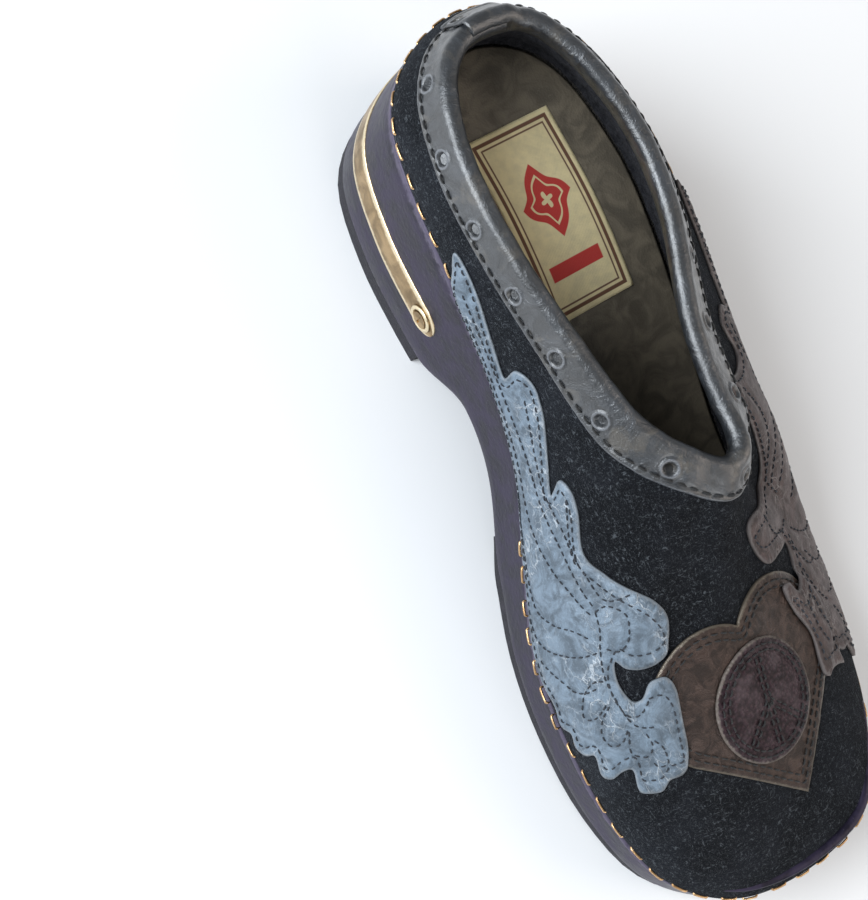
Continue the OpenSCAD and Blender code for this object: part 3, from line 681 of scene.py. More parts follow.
def suede_nap():
    def paint(b):
        base = tuple(paints().suede)
        hair = b.group(fibres(), Scale=1.1, Start=0.59)
        small = b.group(fibres(), Scale=2.6, Start=0.57)
        cloud = b.noise(b.place(), 0.07, 4, 0.6)
        tint = b.mix(b.span(cloud, 0.35, 0.7), base, shade(base, 2.3))
        tint = b.mix(b.math("MULTIPLY", hair["Flecks"], 0.6), tint, (0.13, 0.145, 0.16))
        tint = b.mix(b.math("MULTIPLY", small["Flecks"], 0.5), tint, (0.10, 0.11, 0.12))
        height = b.math("ADD", hair["Nap"], b.math("MULTIPLY", small["Nap"], 0.6))
        return {"Base Color": tint, "Roughness": 0.95, "Normal": b.bump(height, 0.9),
                "Specular IOR Level": 0.12, "Sheen Weight": 0.04, "Sheen Roughness": 0.4,
                "Sheen Tint": (0.62, 0.70, 0.85, 1)}
    return finish_material("Suede", paint)


def distressed_leather(name, base, pale, crack_share):
    def paint(b):
        grain = b.group(leather_grain(), Pores=1.7, Folds=0.16)
        crack = b.group(leather_cracks(), Scale=0.22, Width=0.05)["Mask"]
        small = b.group(leather_cracks(), Scale=0.5, Width=0.05)["Mask"]
        worn_and_lit = b.group(edge_wear_and_highlight(), Scale=0.8)
        tint = b.mix(b.span(grain["Patches"], 0.35, 0.68), shade(base, 0.62), shade(base, 1.35))
        tint = b.mix(b.math("MULTIPLY", b.span(b.noise(b.place(), 0.9, 5, 0.7), 0.5, 0.75), 0.4),
                     tint, shade(base, 2.1))
        tint = b.mix(b.math("MULTIPLY", b.math("MAXIMUM", crack, b.math(
            "MULTIPLY", small, 0.5)), crack_share), tint, pale)
        tint = b.mix(b.math("MULTIPLY", worn_and_lit["Worn"], 0.55), tint, shade(pale, 0.55))
        height = b.math("ADD", b.math("MULTIPLY", grain["Height"], 0.35), b.math(
            "MULTIPLY", crack, 0.5))
        fold = b.math("MULTIPLY", grain["Ridges"], 0.2)
        rough = b.span(grain["Patches"], 0.3, 0.7, 0.62, 0.46)
        return {"Base Color": tint, "Roughness": rough,
                "Normal": b.bump(b.math("ADD", height, fold), 0.45),
                "Metallic": 0.1, "Coat Weight": 0.08, "Coat Roughness": 0.35}
    return finish_material(name, paint)


def wing_leather():
    return distressed_leather("Wing Leather", tuple(paints().wing), (0.46, 0.50, 0.54), 0.75)


# A darker, browner copy of the wing leather for the outer wing: painted shade for the dimmer,
# warmer light on that side.
def wing_leather_painted_shade():
    return distressed_leather("Wing Leather Painted Shade", tuple(paints().wing_painted_shade),
                              (0.30, 0.27, 0.26), 0.6)


def heart_leather():
    def paint(b):
        base = tuple(paints().heart)
        grain = b.group(leather_grain(), Pores=2.2, Folds=0.22)
        worn_and_lit = b.group(edge_wear_and_highlight(), Scale=0.9)
        tint = b.mix(b.span(grain["Patches"], 0.35, 0.65), shade(base, 0.6), shade(base, 1.5))
        tint = b.mix(b.math("MULTIPLY", worn_and_lit["Worn"], 0.6), tint, (0.20, 0.17, 0.13))
        height = b.math("ADD", b.math("MULTIPLY", grain["Height"], 0.3), b.math(
            "MULTIPLY", grain["Ridges"], 0.25))
        return {"Base Color": tint, "Metallic": 0.45, "Normal": b.bump(height, 0.5),
                "Roughness": b.span(grain["Patches"], 0.3, 0.7, 0.50, 0.34)}
    return finish_material("Heart Leather", paint)


def medallion_leather():
    def paint(b):
        base = tuple(paints().medallion)
        pebble = b.cells(b.place(), 0.75)
        worn_and_lit = b.group(edge_wear_and_highlight(), Scale=0.9)
        cloud = b.noise(b.place(), 0.15, 3)
        tint = b.mix(b.span(pebble, 0.1, 0.8), shade(base, 1.5), shade(base, 0.5))
        tint = b.mix(b.math("MULTIPLY", b.span(cloud, 0.4, 0.7), 0.4), tint, (0.12, 0.085, 0.095))
        tint = b.mix(b.math("MULTIPLY", worn_and_lit["Worn"], 0.55), tint, (0.22, 0.19, 0.16))
        height = b.math("SUBTRACT", 1.0, pebble)
        return {"Base Color": tint, "Metallic": 0.1, "Normal": b.bump(height, 0.45),
                "Specular IOR Level": 0.3, "Roughness": b.span(pebble, 0.1, 0.8, 0.38, 0.62)}
    return finish_material("Medallion Leather", paint)


def collar_leather():
    def paint(b):
        base = tuple(paints().collar)
        grain = b.group(leather_grain(), Pores=1.9, Folds=0.14)
        worn_and_lit = b.group(edge_wear_and_highlight(), Scale=0.6)
        lines = b.group(fine_scratches(), Scale=1.2)
        tint = b.mix(b.span(grain["Patches"], 0.35, 0.7), shade(base, 0.55), shade(base, 1.9))
        # Bronze patches where the smudge noise is high: a painted glint of light on the glossy
        # leather.
        glint = b.math("MULTIPLY", b.span(lines["Smudge and Sheen"], 0.52, 0.72), 0.5)
        tint = b.mix(glint, tint, tuple(paints().bronze))
        tint = b.mix(b.math("MULTIPLY", worn_and_lit["Worn"], 0.5), tint, (0.17, 0.18, 0.20))
        height = b.math("ADD", b.math("MULTIPLY", grain["Height"], 0.25), b.math(
            "MULTIPLY", grain["Ridges"], 0.35))
        return {"Base Color": tint, "Metallic": 0.1, "Normal": b.bump(height, 0.6),
                "Roughness": b.span(grain["Patches"], 0.3, 0.7, 0.46, 0.34),
                "Specular IOR Level": 0.8, "Coat Weight": 0.7, "Coat IOR": 1.6,
                "Coat Roughness": 0.33}
    return finish_material("Collar Leather", paint)


def fleece_wool():
    def paint(b):
        hair = b.group(fibres(), Scale=0.9, Start=0.62)
        lump = b.noise(b.place(), 0.45, 4, 0.65)
        tint = b.mix(b.span(lump, 0.35, 0.7), (0.006, 0.006, 0.008), (0.024, 0.024, 0.028))
        tint = b.mix(b.math("MULTIPLY", hair["Flecks"], 0.3), tint, (0.08, 0.08, 0.085))
        height = b.math("ADD", lump, b.math("MULTIPLY", hair["Nap"], 0.7))
        return {"Base Color": tint, "Roughness": 0.97, "Normal": b.bump(height, 1.3),
                "Specular IOR Level": 0.12, "Sheen Weight": 0.05, "Sheen Roughness": 0.5,
                "Sheen Tint": (0.7, 0.72, 0.8, 1)}
    return finish_material("Fleece", paint)


def metal(name, base, dark, rough, bright=(1, 0.86, 0.6)):
    def paint(b):
        lines = b.group(fine_scratches(), Scale=2.0)
        worn_and_lit = b.group(edge_wear_and_highlight(), Scale=0.7)
        tint = b.mix(b.span(lines["Smudge and Sheen"], 0.35, 0.65), dark, base)
        tint = b.mix(b.math("MULTIPLY", worn_and_lit["Worn"], 0.8), tint, bright)
        shine = b.math("ADD", b.span(lines["Smudge and Sheen"], 0.3, 0.7, rough + 0.14, rough),
                       b.math("MULTIPLY", lines["Lines"], 0.1))
        return {"Base Color": tint, "Metallic": 1.0, "Roughness": shine,
                "Normal": b.bump(lines["Lines"], 0.03)}
    return finish_material(name, paint)


def brass():
    base = tuple(paints().brass)
    return metal("Aged Brass", base, shade(base, 0.5), 0.30)


def staple_brass():
    return metal("Staple Brass", (0.80, 0.53, 0.28), (0.48, 0.28, 0.13), 0.24)


def nail_steel():
    return metal("Nail Steel", (0.55, 0.55, 0.54), (0.30, 0.29, 0.28), 0.35, (0.8, 0.8, 0.8))


def thread(name, tone):
    def paint(b):
        twist = b.noise(b.place((1, 1, 1), 0.8), 3.5, 2, 0.5, 0.6)
        fuzz = b.noise(b.place(), 9.0, 2)
        tint = b.mix(b.span(twist, 0.4, 0.65), shade(tone, 0.6), shade(tone, 1.8))
        return {"Base Color": tint, "Roughness": 0.7, "Sheen Weight": 0.1,
                "Normal": b.bump(b.math("ADD", twist, b.math("MULTIPLY", fuzz, 0.4)), 0.2)}
    return finish_material(name, paint)


def black_thread():
    return thread("Black Thread", (0.01,) * 3)


def tread_rubber():
    def paint(b):
        dust = b.noise(b.place(), 0.2, 5, 0.65)
        pits = b.cells(b.place(), 1.6)
        tint = b.mix(b.span(dust, 0.45, 0.75), (0.010, 0.009, 0.014), (0.030, 0.027, 0.036))
        return {"Base Color": tint, "Roughness": b.span(dust, 0.3, 0.7, 0.62, 0.85),
                "Normal": b.bump(b.math("ADD", pits, dust), 0.25)}
    return finish_material("Tread Rubber", paint)


def stiffener_board():
    def paint(b):
        hair = b.group(fibres(), Scale=0.8, Start=0.58)
        tint = b.mix(hair["Flecks"], (0.16, 0.11, 0.07), (0.30, 0.23, 0.15))
        return {"Base Color": tint, "Roughness": 0.9, "Normal": b.bump(hair["Nap"], 0.2)}
    return finish_material("Stiffener Board", paint)


def foam_cells():
    def paint(b):
        cells = b.cells(b.place(), 1.4)
        tint = b.mix(b.span(cells, 0.1, 0.7), (0.03, 0.028, 0.026), (0.085, 0.078, 0.07))
        return {"Base Color": tint, "Roughness": 0.9, "Normal": b.bump(cells, 0.4)}
    return finish_material("Footbed Foam", paint)


def footbed_leather():
    def paint(b):
        base = tuple(paints().footbed)
        grain = b.group(leather_grain(), Pores=1.6, Folds=0.10)
        tint = b.mix(b.span(grain["Patches"], 0.35, 0.7), shade(base, 0.65), shade(base, 1.25))
        flecks = b.group(fibres(), Scale=1.2, Start=0.66)
        tint = b.mix(b.math("MULTIPLY", flecks["Flecks"], 0.35), tint, shade(base, 2.6))
        height = b.math("ADD", b.math("MULTIPLY", grain["Height"], 0.4), b.math(
            "MULTIPLY", grain["Ridges"], 0.12))
        return {"Base Color": tint, "Roughness": b.span(grain["Patches"], 0.3, 0.7, 0.62, 0.5),
                "Normal": b.bump(height, 0.3)}
    return finish_material("Footbed Leather", paint)


def woven_label():
    """Cream weave with a double border, a diamond ornament and a plain stripe,
    laid out in the label's own two directions, which its colours carry."""
    mm = last().mm
    half_w, half_l = mm["label_width"] / 2, mm["label_length"] / 2
    ornament_y, stripe_y, thread_turns = 4.5, -15.5, 14.0

    def paint(b):
        where = b.node("Attribute", attribute_name="weave").outputs["Vector"]
        x, y, _ = b.node("SeparateXYZ", {0: where}).outputs
        ax, ay = b.math("ABSOLUTE", x), b.math("ABSOLUTE", y)
        edge = b.math("MINIMUM", b.math("SUBTRACT", half_w, ax), b.math("SUBTRACT", half_l, ay))

        def band(value, centre, half, soft=0.12):
            away = b.math("ABSOLUTE", b.math("SUBTRACT", value, centre))
            return b.span(away, half - soft, half + soft, 1.0, 0.0)

        border = b.math("MAXIMUM", band(edge, 2.2, 0.55), band(edge, 3.9, 0.25))
        stripe = b.math("MULTIPLY", band(y, stripe_y, 2.2), band(ax, 0.0, 9.0, 0.2))
        rise = b.math("SUBTRACT", y, ornament_y)
        diamond = b.math("ADD", b.math("MULTIPLY", ax, 1.35), b.math("ABSOLUTE", rise))
        petals = b.math("MULTIPLY", b.math("SINE", b.math(
            "MULTIPLY", b.math("ARCTAN2", x, rise), 4.0)), 1.1)
        ring = b.math("ADD", diamond, petals)
        ornament = b.math("MAXIMUM", b.span(ring, 11.4, 11.8, 1.0, 0.0), stripe)
        hollow = b.math("MAXIMUM", band(ring, 7.6, 0.5), b.span(ring, 2.4, 2.7, 1.0, 0.0))
        weft = b.math("SINE", b.math("MULTIPLY", y, thread_turns))
        warp = b.math("SINE", b.math("MULTIPLY", x, thread_turns))
        weave = b.math("MULTIPLY", weft, warp)
        cloth = tuple(paints().label)
        tint = b.mix(b.span(b.noise(b.place(), 0.3, 4), 0.3, 0.7), shade(cloth, 0.86), cloth)
        tint = b.mix(b.math("MULTIPLY", b.span(weave, -0.2, 0.9), 0.2), tint, shade(cloth, 0.6))
        tint = b.mix(border, tint, tuple(paints().label_border))
        tint = b.mix(ornament, tint, tuple(paints().ornament))
        tint = b.mix(hollow, tint, shade(cloth, 0.9))
        return {"Base Color": tint, "Roughness": 0.85, "Normal": b.bump(weave, 0.12),
                "Sheen Weight": 0.15}
    return finish_material("Woven Label", paint)


def dress(node, material):
    """Gives a CAD node that stays in view its finish."""
    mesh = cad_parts[node].data
    if not mesh.materials:
        mesh.materials.append(material)
    for k in range(len(mesh.materials)):
        mesh.materials[k] = material


# ---- sole, treads and heel band ----

def cap(points, ring, height, across=18):
    """Closes a ring of stations with rows of quads from its outer to its inner side."""
    n = len(ring)
    share = 0.5 - 0.5 * np.cos(np.pi * np.arange(across + 1) / across)
    rows = [[ring[0]] * (across + 1)]
    for k in range(1, n // 2):
        a, b = np.array(points[ring[k]]), np.array(points[ring[n - k]])
        row = [ring[k]]
        for s in share[1:-1]:
            p = a + (b - a) * s
            p[2] = height(p[0], p[1])
            row.append(len(points))
            points.append(p)
        rows.append(row + [ring[n - k]])
    rows.append([ring[n // 2]] * (across + 1))
    faces = []
    for low, high in zip(rows, rows[1:]):
        for j in range(across):
            corners = (low[j], high[j], high[j + 1], low[j + 1])
            face = tuple(dict.fromkeys(corners))
            if len(face) > 2:
                faces.append(face)
    return faces


def ring_stations(count):
    return np.arange(count) * STATIONS / count


def slab(form, inset, top, bottom, roll=0.6):
    """A flat layer inside the sole's outline with softened edges."""
    across, count = 24, 240
    u = ring_stations(count)
    points, rings = [], []
    for extra, side in ((roll, 0), (0.0, 0), (0.0, 1), (roll * 1.6, 1)):
        p = form.rim(u, inset + extra)
        z = np.array([(top if side else bottom)(a, b) for a, b in p[:, :2]])
        drop = roll * 0.7 if extra == 0 else 0.0
        p[:, 2] = z + (drop if side == 0 else -drop)
        rings.append(list(range(len(points), len(points) + count)))
        points += list(p)
    faces = grid(4, count, wrap_columns=True)
    faces += cap(points, rings[0], bottom, across) + cap(points, rings[-1], top, across)
    return points, faces


def build_sole(form):
    mm, count = form.mm, 320
    u = ring_stations(count)
    rows = []

    def row(inset, low, high, share=0.0):
        p = form.rim(u, inset)
        bottom = form.wood_z(p[:, 1]) + low
        p[:, 2] = bottom + (p[:, 2] + high - bottom) * share
        rows.append(p)

    for inset, low in ((2.0, 0.0), (1.0, 0.15), (0.35, 0.7), (0.05, 1.6)):
        row(inset, low, 0.0)
    for share in (0.15, 0.3, 0.45, 0.6, 0.75, 0.88):
        row(0.0, 1.6, -1.0, share)
    top = mm["wall_rise"]
    inner = mm["ledge"] + mm["wall"]
    for inset, high in ((0.0, -0.9), (0.12, -0.4), (0.45, -0.08), (0.9, 0.0), (1.5, -0.05),
                        (mm["ledge"], -0.1), (mm["ledge"], top - 0.5),
                        (mm["ledge"] + 0.5, top), (inner - 0.5, top),
                        (inner, top - 0.5), (inner, -mm["bed_depth"])):
        row(inset, 0.0, high, 1.0)
    points = [p for r in rows for p in r]
    faces = grid(len(rows), count, wrap_columns=True)
    faces += cap(points, list(range(count)), lambda x, y: float(form.wood_z(y)))
    last_row = (len(rows) - 1) * count
    faces += cap(points, list(range(last_row, last_row + count)),
                 lambda x, y: float(form.rim_z(y)) - mm["bed_depth"])
    # Painted highlight along the rounded lower edge and along the rim, carried in the wear layer:
    # rows and amounts.
    wear = np.zeros(len(points))
    for first, end, amount in ((2, 4, 0.55), (10, 14, 0.8)):
        wear[first * count:end * count] = amount
    make_piece("sole_turned", points, faces, lacquered_wood(), "sole", wear)


def band_stations(form, y):
    """The stations at y on the inner and on the outer side, counted through the heel."""
    return form.station_at(y, 2.0, 8.0), form.station_at(y, 18.0, 23.0) - STATIONS


def build_band(form):
    mm = form.mm
    half = mm["band_height"] / 2
    reach = band_stations(form, mm["band_end"] - half + 0.01)
    t = np.linspace(-1, 1, 301)
    t = np.sign(t) * (1 - (1 - abs(t)) ** 1.6)
    u = reach[1] + (reach[0] - reach[1]) * (t + 1) / 2
    foot = form.rim(u)
    past = np.maximum(0, mm["band_end"] - foot[:, 1])
    tall = np.sqrt(np.maximum(0.0025, half ** 2 - past ** 2))
    out = form.outward(u)
    section = [(-1, 0, -0.8), (-1, 0, 0.05), (-1, 0.25, 0.33), (-1, 0.7, 0.44), (-0.5, 0, 0.5),
               (0, 0, 0.52), (0.5, 0, 0.5), (1, -0.7, 0.44), (1, -0.25, 0.33), (1, 0, 0.05),
               (1, 0, -0.8)]
    points, wear = [], []
    for k in range(len(u)):
        for share, shift, off in section:
            level = share * tall[k]
            level += max(-abs(level), min(abs(level), shift))
            tip = min(1.0, tall[k] / 1.2)
            p = foot[k] + out[k] * (off * tip if off > 0 else off)
            points.append((p[0], p[1], mm["band_level"] + level))
            wear.append(1.0 if off in (0.33, 0.44) else 0.25 if off > 0.4 else 0.5)
    faces = grid(len(u), len(section), wrap_columns=True)
    n = len(section)
    faces += [tuple(range(n)), tuple(range(len(points) - n, len(points)))[::-1]]
    make_piece("band_bent", points, faces, brass(), "brass_band", wear)


def build_eyelets(form):
    mm = form.mm
    r = mm["eyelet"]
    profile = [(r, 0.2), (r, 0.75), (r - 0.25, 1.15), (r - 0.7, 1.35), (r - 1.15, 1.3),
               (r - 1.5, 1.05), (r - 1.75, 0.7), (r - 1.8, 0.2)]
    points, faces, around = [], [], 56
    back = (len(profile) - 1) * around
    for u in band_stations(form, mm["band_end"]):
        centre = form.rim(u)
        centre[2] = mm["band_level"]
        ring, quads = lathe(profile, centre, form.outward(u), around)
        first = len(points)
        points += ring
        faces += [tuple(first + k for k in q) for q in quads]
        faces += [(first + k, first + (k + 1) % around, first + back + (k + 1) % around,
                   first + back + k) for k in range(around)]
    wear = [1.0 if 2 <= (k // around) % len(profile) <= 4 else 0.3 for k in range(len(points))]
    make_piece("eyelets_turned", points, faces, brass(), "band_eyelets", wear)


# ---- upper, lining and collar ----

def build_suede(form):
    us, vs = ring_stations(320), np.linspace(0, 1, 60) ** 1.25
    u, v = np.meshgrid(us, vs, indexing="ij")
    off = -0.7 * (1 - smooth(0.0, 0.07, v))
    outer = form.skin(u, v, off)
    flat = outer.reshape(-1, 3)
    lumps = (0.22 * ripple(flat, 22, 1.3) + 0.12 * ripple(flat, 7, 5.9)).reshape(u.shape)
    lumps *= smooth(0.0, 0.15, v)
    outer = form.skin(u, v, off + lumps)
    inner = form.skin(u, v, -form.mm["suede"] + 0 * v)
    rows = np.concatenate((outer, inner[:, ::-1]), axis=1)
    faces = grid(len(us), 2 * len(vs), wrap_rows=True, wrap_columns=True)
    make_piece("suede_lasted", rows.reshape(-1, 3), faces, suede_nap(), "suede_upper")


def build_fleece(form):
    mm = form.mm
    us, vs = ring_stations(420), np.linspace(0, 1, 84) ** 1.1
    u, v = np.meshgrid(us, vs, indexing="ij")
    thick = mm["fleece"] + (mm["fleece_top"] - mm["fleece"]) * smooth(0.55, 1, v)
    base = form.lining(u, v, -thick)
    flat = base.reshape(-1, 3)
    lumps = (0.5 * ripple(flat, 4.0, 2.2) + 0.35 * ripple(flat, 1.7, 9.1)).reshape(u.shape)
    pile = form.lining(u, v, -thick - (0.35 + lumps) * (1 - smooth(0.86, 0.97, v)))
    back = form.lining(u[:, ::3], v[:, ::3], 0 * v[:, ::3])[:, ::-1]
    rows = np.concatenate((pile, back), axis=1)
    faces = grid(len(us), rows.shape[1], wrap_rows=True, wrap_columns=True)
    make_piece("fleece_pile", rows.reshape(-1, 3), faces, fleece_wool(), "fleece_lining")


def collar_profile(form):
    """The collar's cross-section as pairs of drop below the topline and height."""
    mm = form.mm
    wide, inside = mm["collar_width"], mm["collar_inner"]
    low, high = form.gap, form.gap + mm["collar_leather"]
    face = -mm["suede"] - 2 * form.gap - mm["fleece_top"] - 0.2
    deep = face - mm["collar_leather"]
    section = [(wide, low), (wide + 0.12, (low + high) / 2), (wide - 0.25, high)]
    section += [(d, high + 0.35 * math.sin(math.pi * d / wide))
                for d in np.arange(wide - 0.6, 0.7, -0.34)]
    middle, radius = (high + deep) / 2, (high - deep) / 2
    section += [(0.6 - 0.9 * radius * math.sin(a), middle + radius * math.cos(a))
                for a in np.linspace(0.06, math.pi - 0.06, 16)]
    section += [(d, deep - 0.2 * math.sin(math.pi * d / inside))
                for d in np.arange(0.9, inside, 0.7)]
    section += [(inside, deep + 0.3), (inside, face), (-0.3, face), (-0.3, low)]
    return np.array(section)


def build_collar(form):
    mm = form.mm
    section = collar_profile(form)
    overlap = 0.75
    u = np.concatenate((form.even_stations(900), STATIONS + np.linspace(0, overlap, 28)))
    holes = form.even_stations(2 * form.holes)[1::2]
    drop = np.broadcast_to(section[:, 0], (len(u), len(section)))
    off = np.broadcast_to(section[:, 1], drop.shape)
    us = np.broadcast_to(u[:, None], drop.shape)
    outer_side = (off > form.gap + 0.5) | (drop < 0.6)
    lap = smooth(STATIONS - 0.5, STATIONS - 0.1, us) * 1.15
    grow = np.where(outer_side, lap, 0.0)
    base = form.collar_point(us, drop, off)
    flat = base.reshape(-1, 3)
    folds = (0.20 * ripple(flat, 5.5, 4.4) + 0.10 * ripple(flat, 2.2, 8.2)).reshape(drop.shape)
    press = np.zeros(drop.shape)
    wear = np.zeros(drop.shape)
    for hole in holes:
        d = 0.55 * mm["collar_width"]
        centre = form.collar_point(np.array([hole]), np.array([d]),
                                   np.array([form.gap + mm["collar_leather"]]))[0]
        r = np.linalg.norm(base - centre, axis=-1)
        press -= 1.5 * (1 - smooth(0.75, 1.15, r / mm["hole"]))
        press += 0.3 * np.exp(-((r - 1.55 * mm["hole"]) / 0.42) ** 2)
        press -= 0.15 * np.exp(-((r - 2.1 * mm["hole"]) / 0.4) ** 2)
        wear = np.maximum(wear, np.exp(-((r - 1.5 * mm["hole"]) / 0.5) ** 2))
    seam = mm["collar_width"] - SEAM_INSET
    press -= np.where(off > 0.5, 0.30 * np.exp(-((drop - seam) / 0.55) ** 2), 0)
    visible = np.where(off > 0.5, 1.0, 0.0)
    off = off + grow + (folds * np.where(outer_side, 1.0, 0.0)) + press * visible
    points = form.collar_point(us, drop - grow * (drop < 0.6), off)
    wear = np.maximum(wear, np.exp(-((drop - mm["collar_width"]) / 0.5) ** 2))
    wear = np.where(outer_side, wear, 0.2)
    n = len(section)
    faces = grid(len(u), n, wrap_columns=True)
    faces += [tuple(range(n)), tuple(range((len(u) - 1) * n, len(u) * n))[::-1]]
    make_piece("collar_folded", points.reshape(-1, 3), faces, collar_leather(), "collar",
               wear.ravel())


def build_collar_seam(form, rng):
    mm = form.mm
    fine = form.even_stations(1400)
    seams = Threads()
    d = np.full(len(fine), mm["collar_width"] - SEAM_INSET)
    path = form.collar_point(fine, d, np.full(len(fine), form.gap + mm["collar_leather"]))
    v = 1 - d / form.top_speed(fine)
    seams.seam(path, form.normal(fine, v), 4.0, 2.9, 0.36, 0.12, rng)
    make_piece("collar_thread", seams.points, seams.faces, black_thread(),
               "collar_stitching")


def build_staples(form, rng):
    mm = form.mm
    bars = Threads(sides=8)
    for i in range(STATIONS * 3):
        u = (i + 0.4) / 3
        if any(low < u < high for low, high in UNSTAPLED):
            continue
        over_wing = (mm["patch"] + form.gap) * float(smooth(6.3, 6.6, u) - smooth(8.9, 9.2, u))
        spot = form.rim(u)
        rise = form.zone(spot[1])[0] * (form.top_points[0][2] - spot[2])
        v = 3.2 / (3 * rise) * rng.uniform(0.85, 1.15)
        u += rng.uniform(-0.03, 0.03)
        normal = form.normal(u, v)
        along = unit(form.face(u + 0.05, v) - form.face(u - 0.05, v))
        side = np.cross(normal, along)
        turn = math.radians(rng.uniform(-9, 9))
        along = along * math.cos(turn) + side * math.sin(turn)
        middle = form.skin(u, v, 0.15 + over_wing + rng.uniform(0, 0.2))
        half = mm["staple"] / 2 * rng.uniform(0.9, 1.08)
        reach = np.array((-1, -1, -0.96, -0.85, -0.4, 0, 0.4, 0.85, 0.96, 1, 1)) * half
        sink = np.array((-1.6, -0.7, -0.2, 0.05, 0.1, 0.12, 0.1, 0.05, -0.2, -0.7, -1.6))
        path = middle + along * reach[:, None] + normal * sink[:, None]
        bars.bar(path, [normal] * len(path), mm["wire"] * 0.62, 0.72)
    make_piece("staples_driven", bars.points, bars.faces, staple_brass(), "staples")


# ---- wings, heart and medallion ----

# Outlines and feather lines of the wings in stations along the rim and shares up the side.
INNER_WING = [
    (4.05, 0.06), (3.85, 0.22), (3.7, 0.38), (3.95, 0.41), (4.25, 0.38), (4.6, 0.30),
    (5.0, 0.25), (5.0, 0.40), (5.2, 0.49), (5.5, 0.47), (6.0, 0.38), (6.45, 0.34),
    (6.35, 0.42), (6.55, 0.47), (6.85, 0.48), (7.4, 0.46), (8.0, 0.53), (8.6, 0.59),
    (9.3, 0.65), (9.8, 0.67), (10.02, 0.63), (9.85, 0.58), (9.6, 0.53), (9.25, 0.47),
    (9.0, 0.44), (9.2, 0.42), (9.55, 0.44), (9.75, 0.48), (9.8, 0.53), (10.1, 0.58),
    (10.45, 0.59), (10.75, 0.55), (10.92, 0.51), (10.92, 0.46), (10.7, 0.42), (10.6, 0.38),
    (10.4, 0.34), (10.2, 0.31), (10.0, 0.33), (9.85, 0.29), (9.75, 0.23), (9.6, 0.19),
    (9.4, 0.20), (9.3, 0.15), (9.15, 0.11), (9.0, 0.12), (8.85, 0.07), (8.6, 0.08),
    (8.25, 0.04), (7.5, 0.045), (6.75, 0.03), (6.0, 0.025), (5.2, 0.025), (4.5, 0.03),
]
INNER_FEATHERS = [
    [(4.3, 0.12), (5.2, 0.11), (6.0, 0.12), (6.5, 0.15), (7.2, 0.27), (7.7, 0.36), (8.25, 0.43)],
    [(4.1, 0.24), (4.9, 0.19), (5.7, 0.21), (6.4, 0.26), (7.0, 0.34), (7.6, 0.40), (8.2, 0.45)],
    [(5.3, 0.38), (5.8, 0.31), (6.3, 0.30), (6.9, 0.38), (7.5, 0.42)],
    [(6.2, 0.06), (6.9, 0.08), (7.5, 0.13), (7.85, 0.23), (8.15, 0.33), (8.45, 0.39)],
    [(7.6, 0.07), (7.95, 0.13), (8.25, 0.24), (8.5, 0.33), (8.68, 0.40)],
    [(8.25, 0.45), (8.5, 0.44), (8.7, 0.41), (8.95, 0.385), (9.3, 0.39), (9.75, 0.415),
     (10.15, 0.48)],
    [(8.25, 0.44), (8.4, 0.50), (8.8, 0.545), (9.05, 0.52), (9.0, 0.475), (8.75, 0.43)],
    [(8.1, 0.10), (8.5, 0.20), (8.7, 0.24), (8.85, 0.29), (8.95, 0.34)],
    [(9.0, 0.38), (8.85, 0.33), (8.85, 0.27), (9.0, 0.235), (9.15, 0.28), (9.2, 0.35)],
    [(9.25, 0.36), (9.25, 0.31), (9.35, 0.28), (9.55, 0.30), (9.68, 0.35), (9.68, 0.39)],
    [(9.7, 0.39), (9.85, 0.36), (10.0, 0.375), (10.2, 0.41), (10.2, 0.44), (10.0, 0.44)],
    [(10.17, 0.45), (10.4, 0.465), (10.58, 0.45), (10.45, 0.42), (10.3, 0.41)],
    [(6.6, 0.44), (7.2, 0.41), (7.8, 0.46), (8.3, 0.50), (8.7, 0.59)],
]
OUTER_WING = [
    (19.2, 0.71), (19.17, 0.81), (18.97, 0.87), (18.2, 0.78), (17.83, 0.72), (17.53, 0.68),
    (17.07, 0.68), (16.2, 0.74), (15.2, 0.79), (14.5, 0.82), (13.9, 0.83), (13.5, 0.82),
    (13.6, 0.78), (13.97, 0.73), (14.5, 0.70), (15.2, 0.66), (16.0, 0.585), (15.5, 0.575),
    (14.75, 0.60), (14.45, 0.65), (14.15, 0.66), (14.2, 0.61), (14.4, 0.54), (14.25, 0.50),
    (14.2, 0.47), (14.4, 0.44), (14.7, 0.41), (14.95, 0.37), (15.05, 0.35), (15.15, 0.37),
    (15.3, 0.33), (15.55, 0.27), (15.6, 0.19), (15.7, 0.15), (15.85, 0.11), (16.0, 0.12),
    (16.15, 0.07), (16.4, 0.08), (16.75, 0.04), (17.5, 0.045), (18.25, 0.03), (19.0, 0.025),
    (19.8, 0.025), (20.5, 0.03), (20.95, 0.06), (21.15, 0.22), (21.3, 0.38), (21.05, 0.41),
    (20.75, 0.38), (20.4, 0.35), (20.0, 0.32), (20.0, 0.45), (19.8, 0.55), (19.5, 0.50),
    (19.3, 0.60),
]
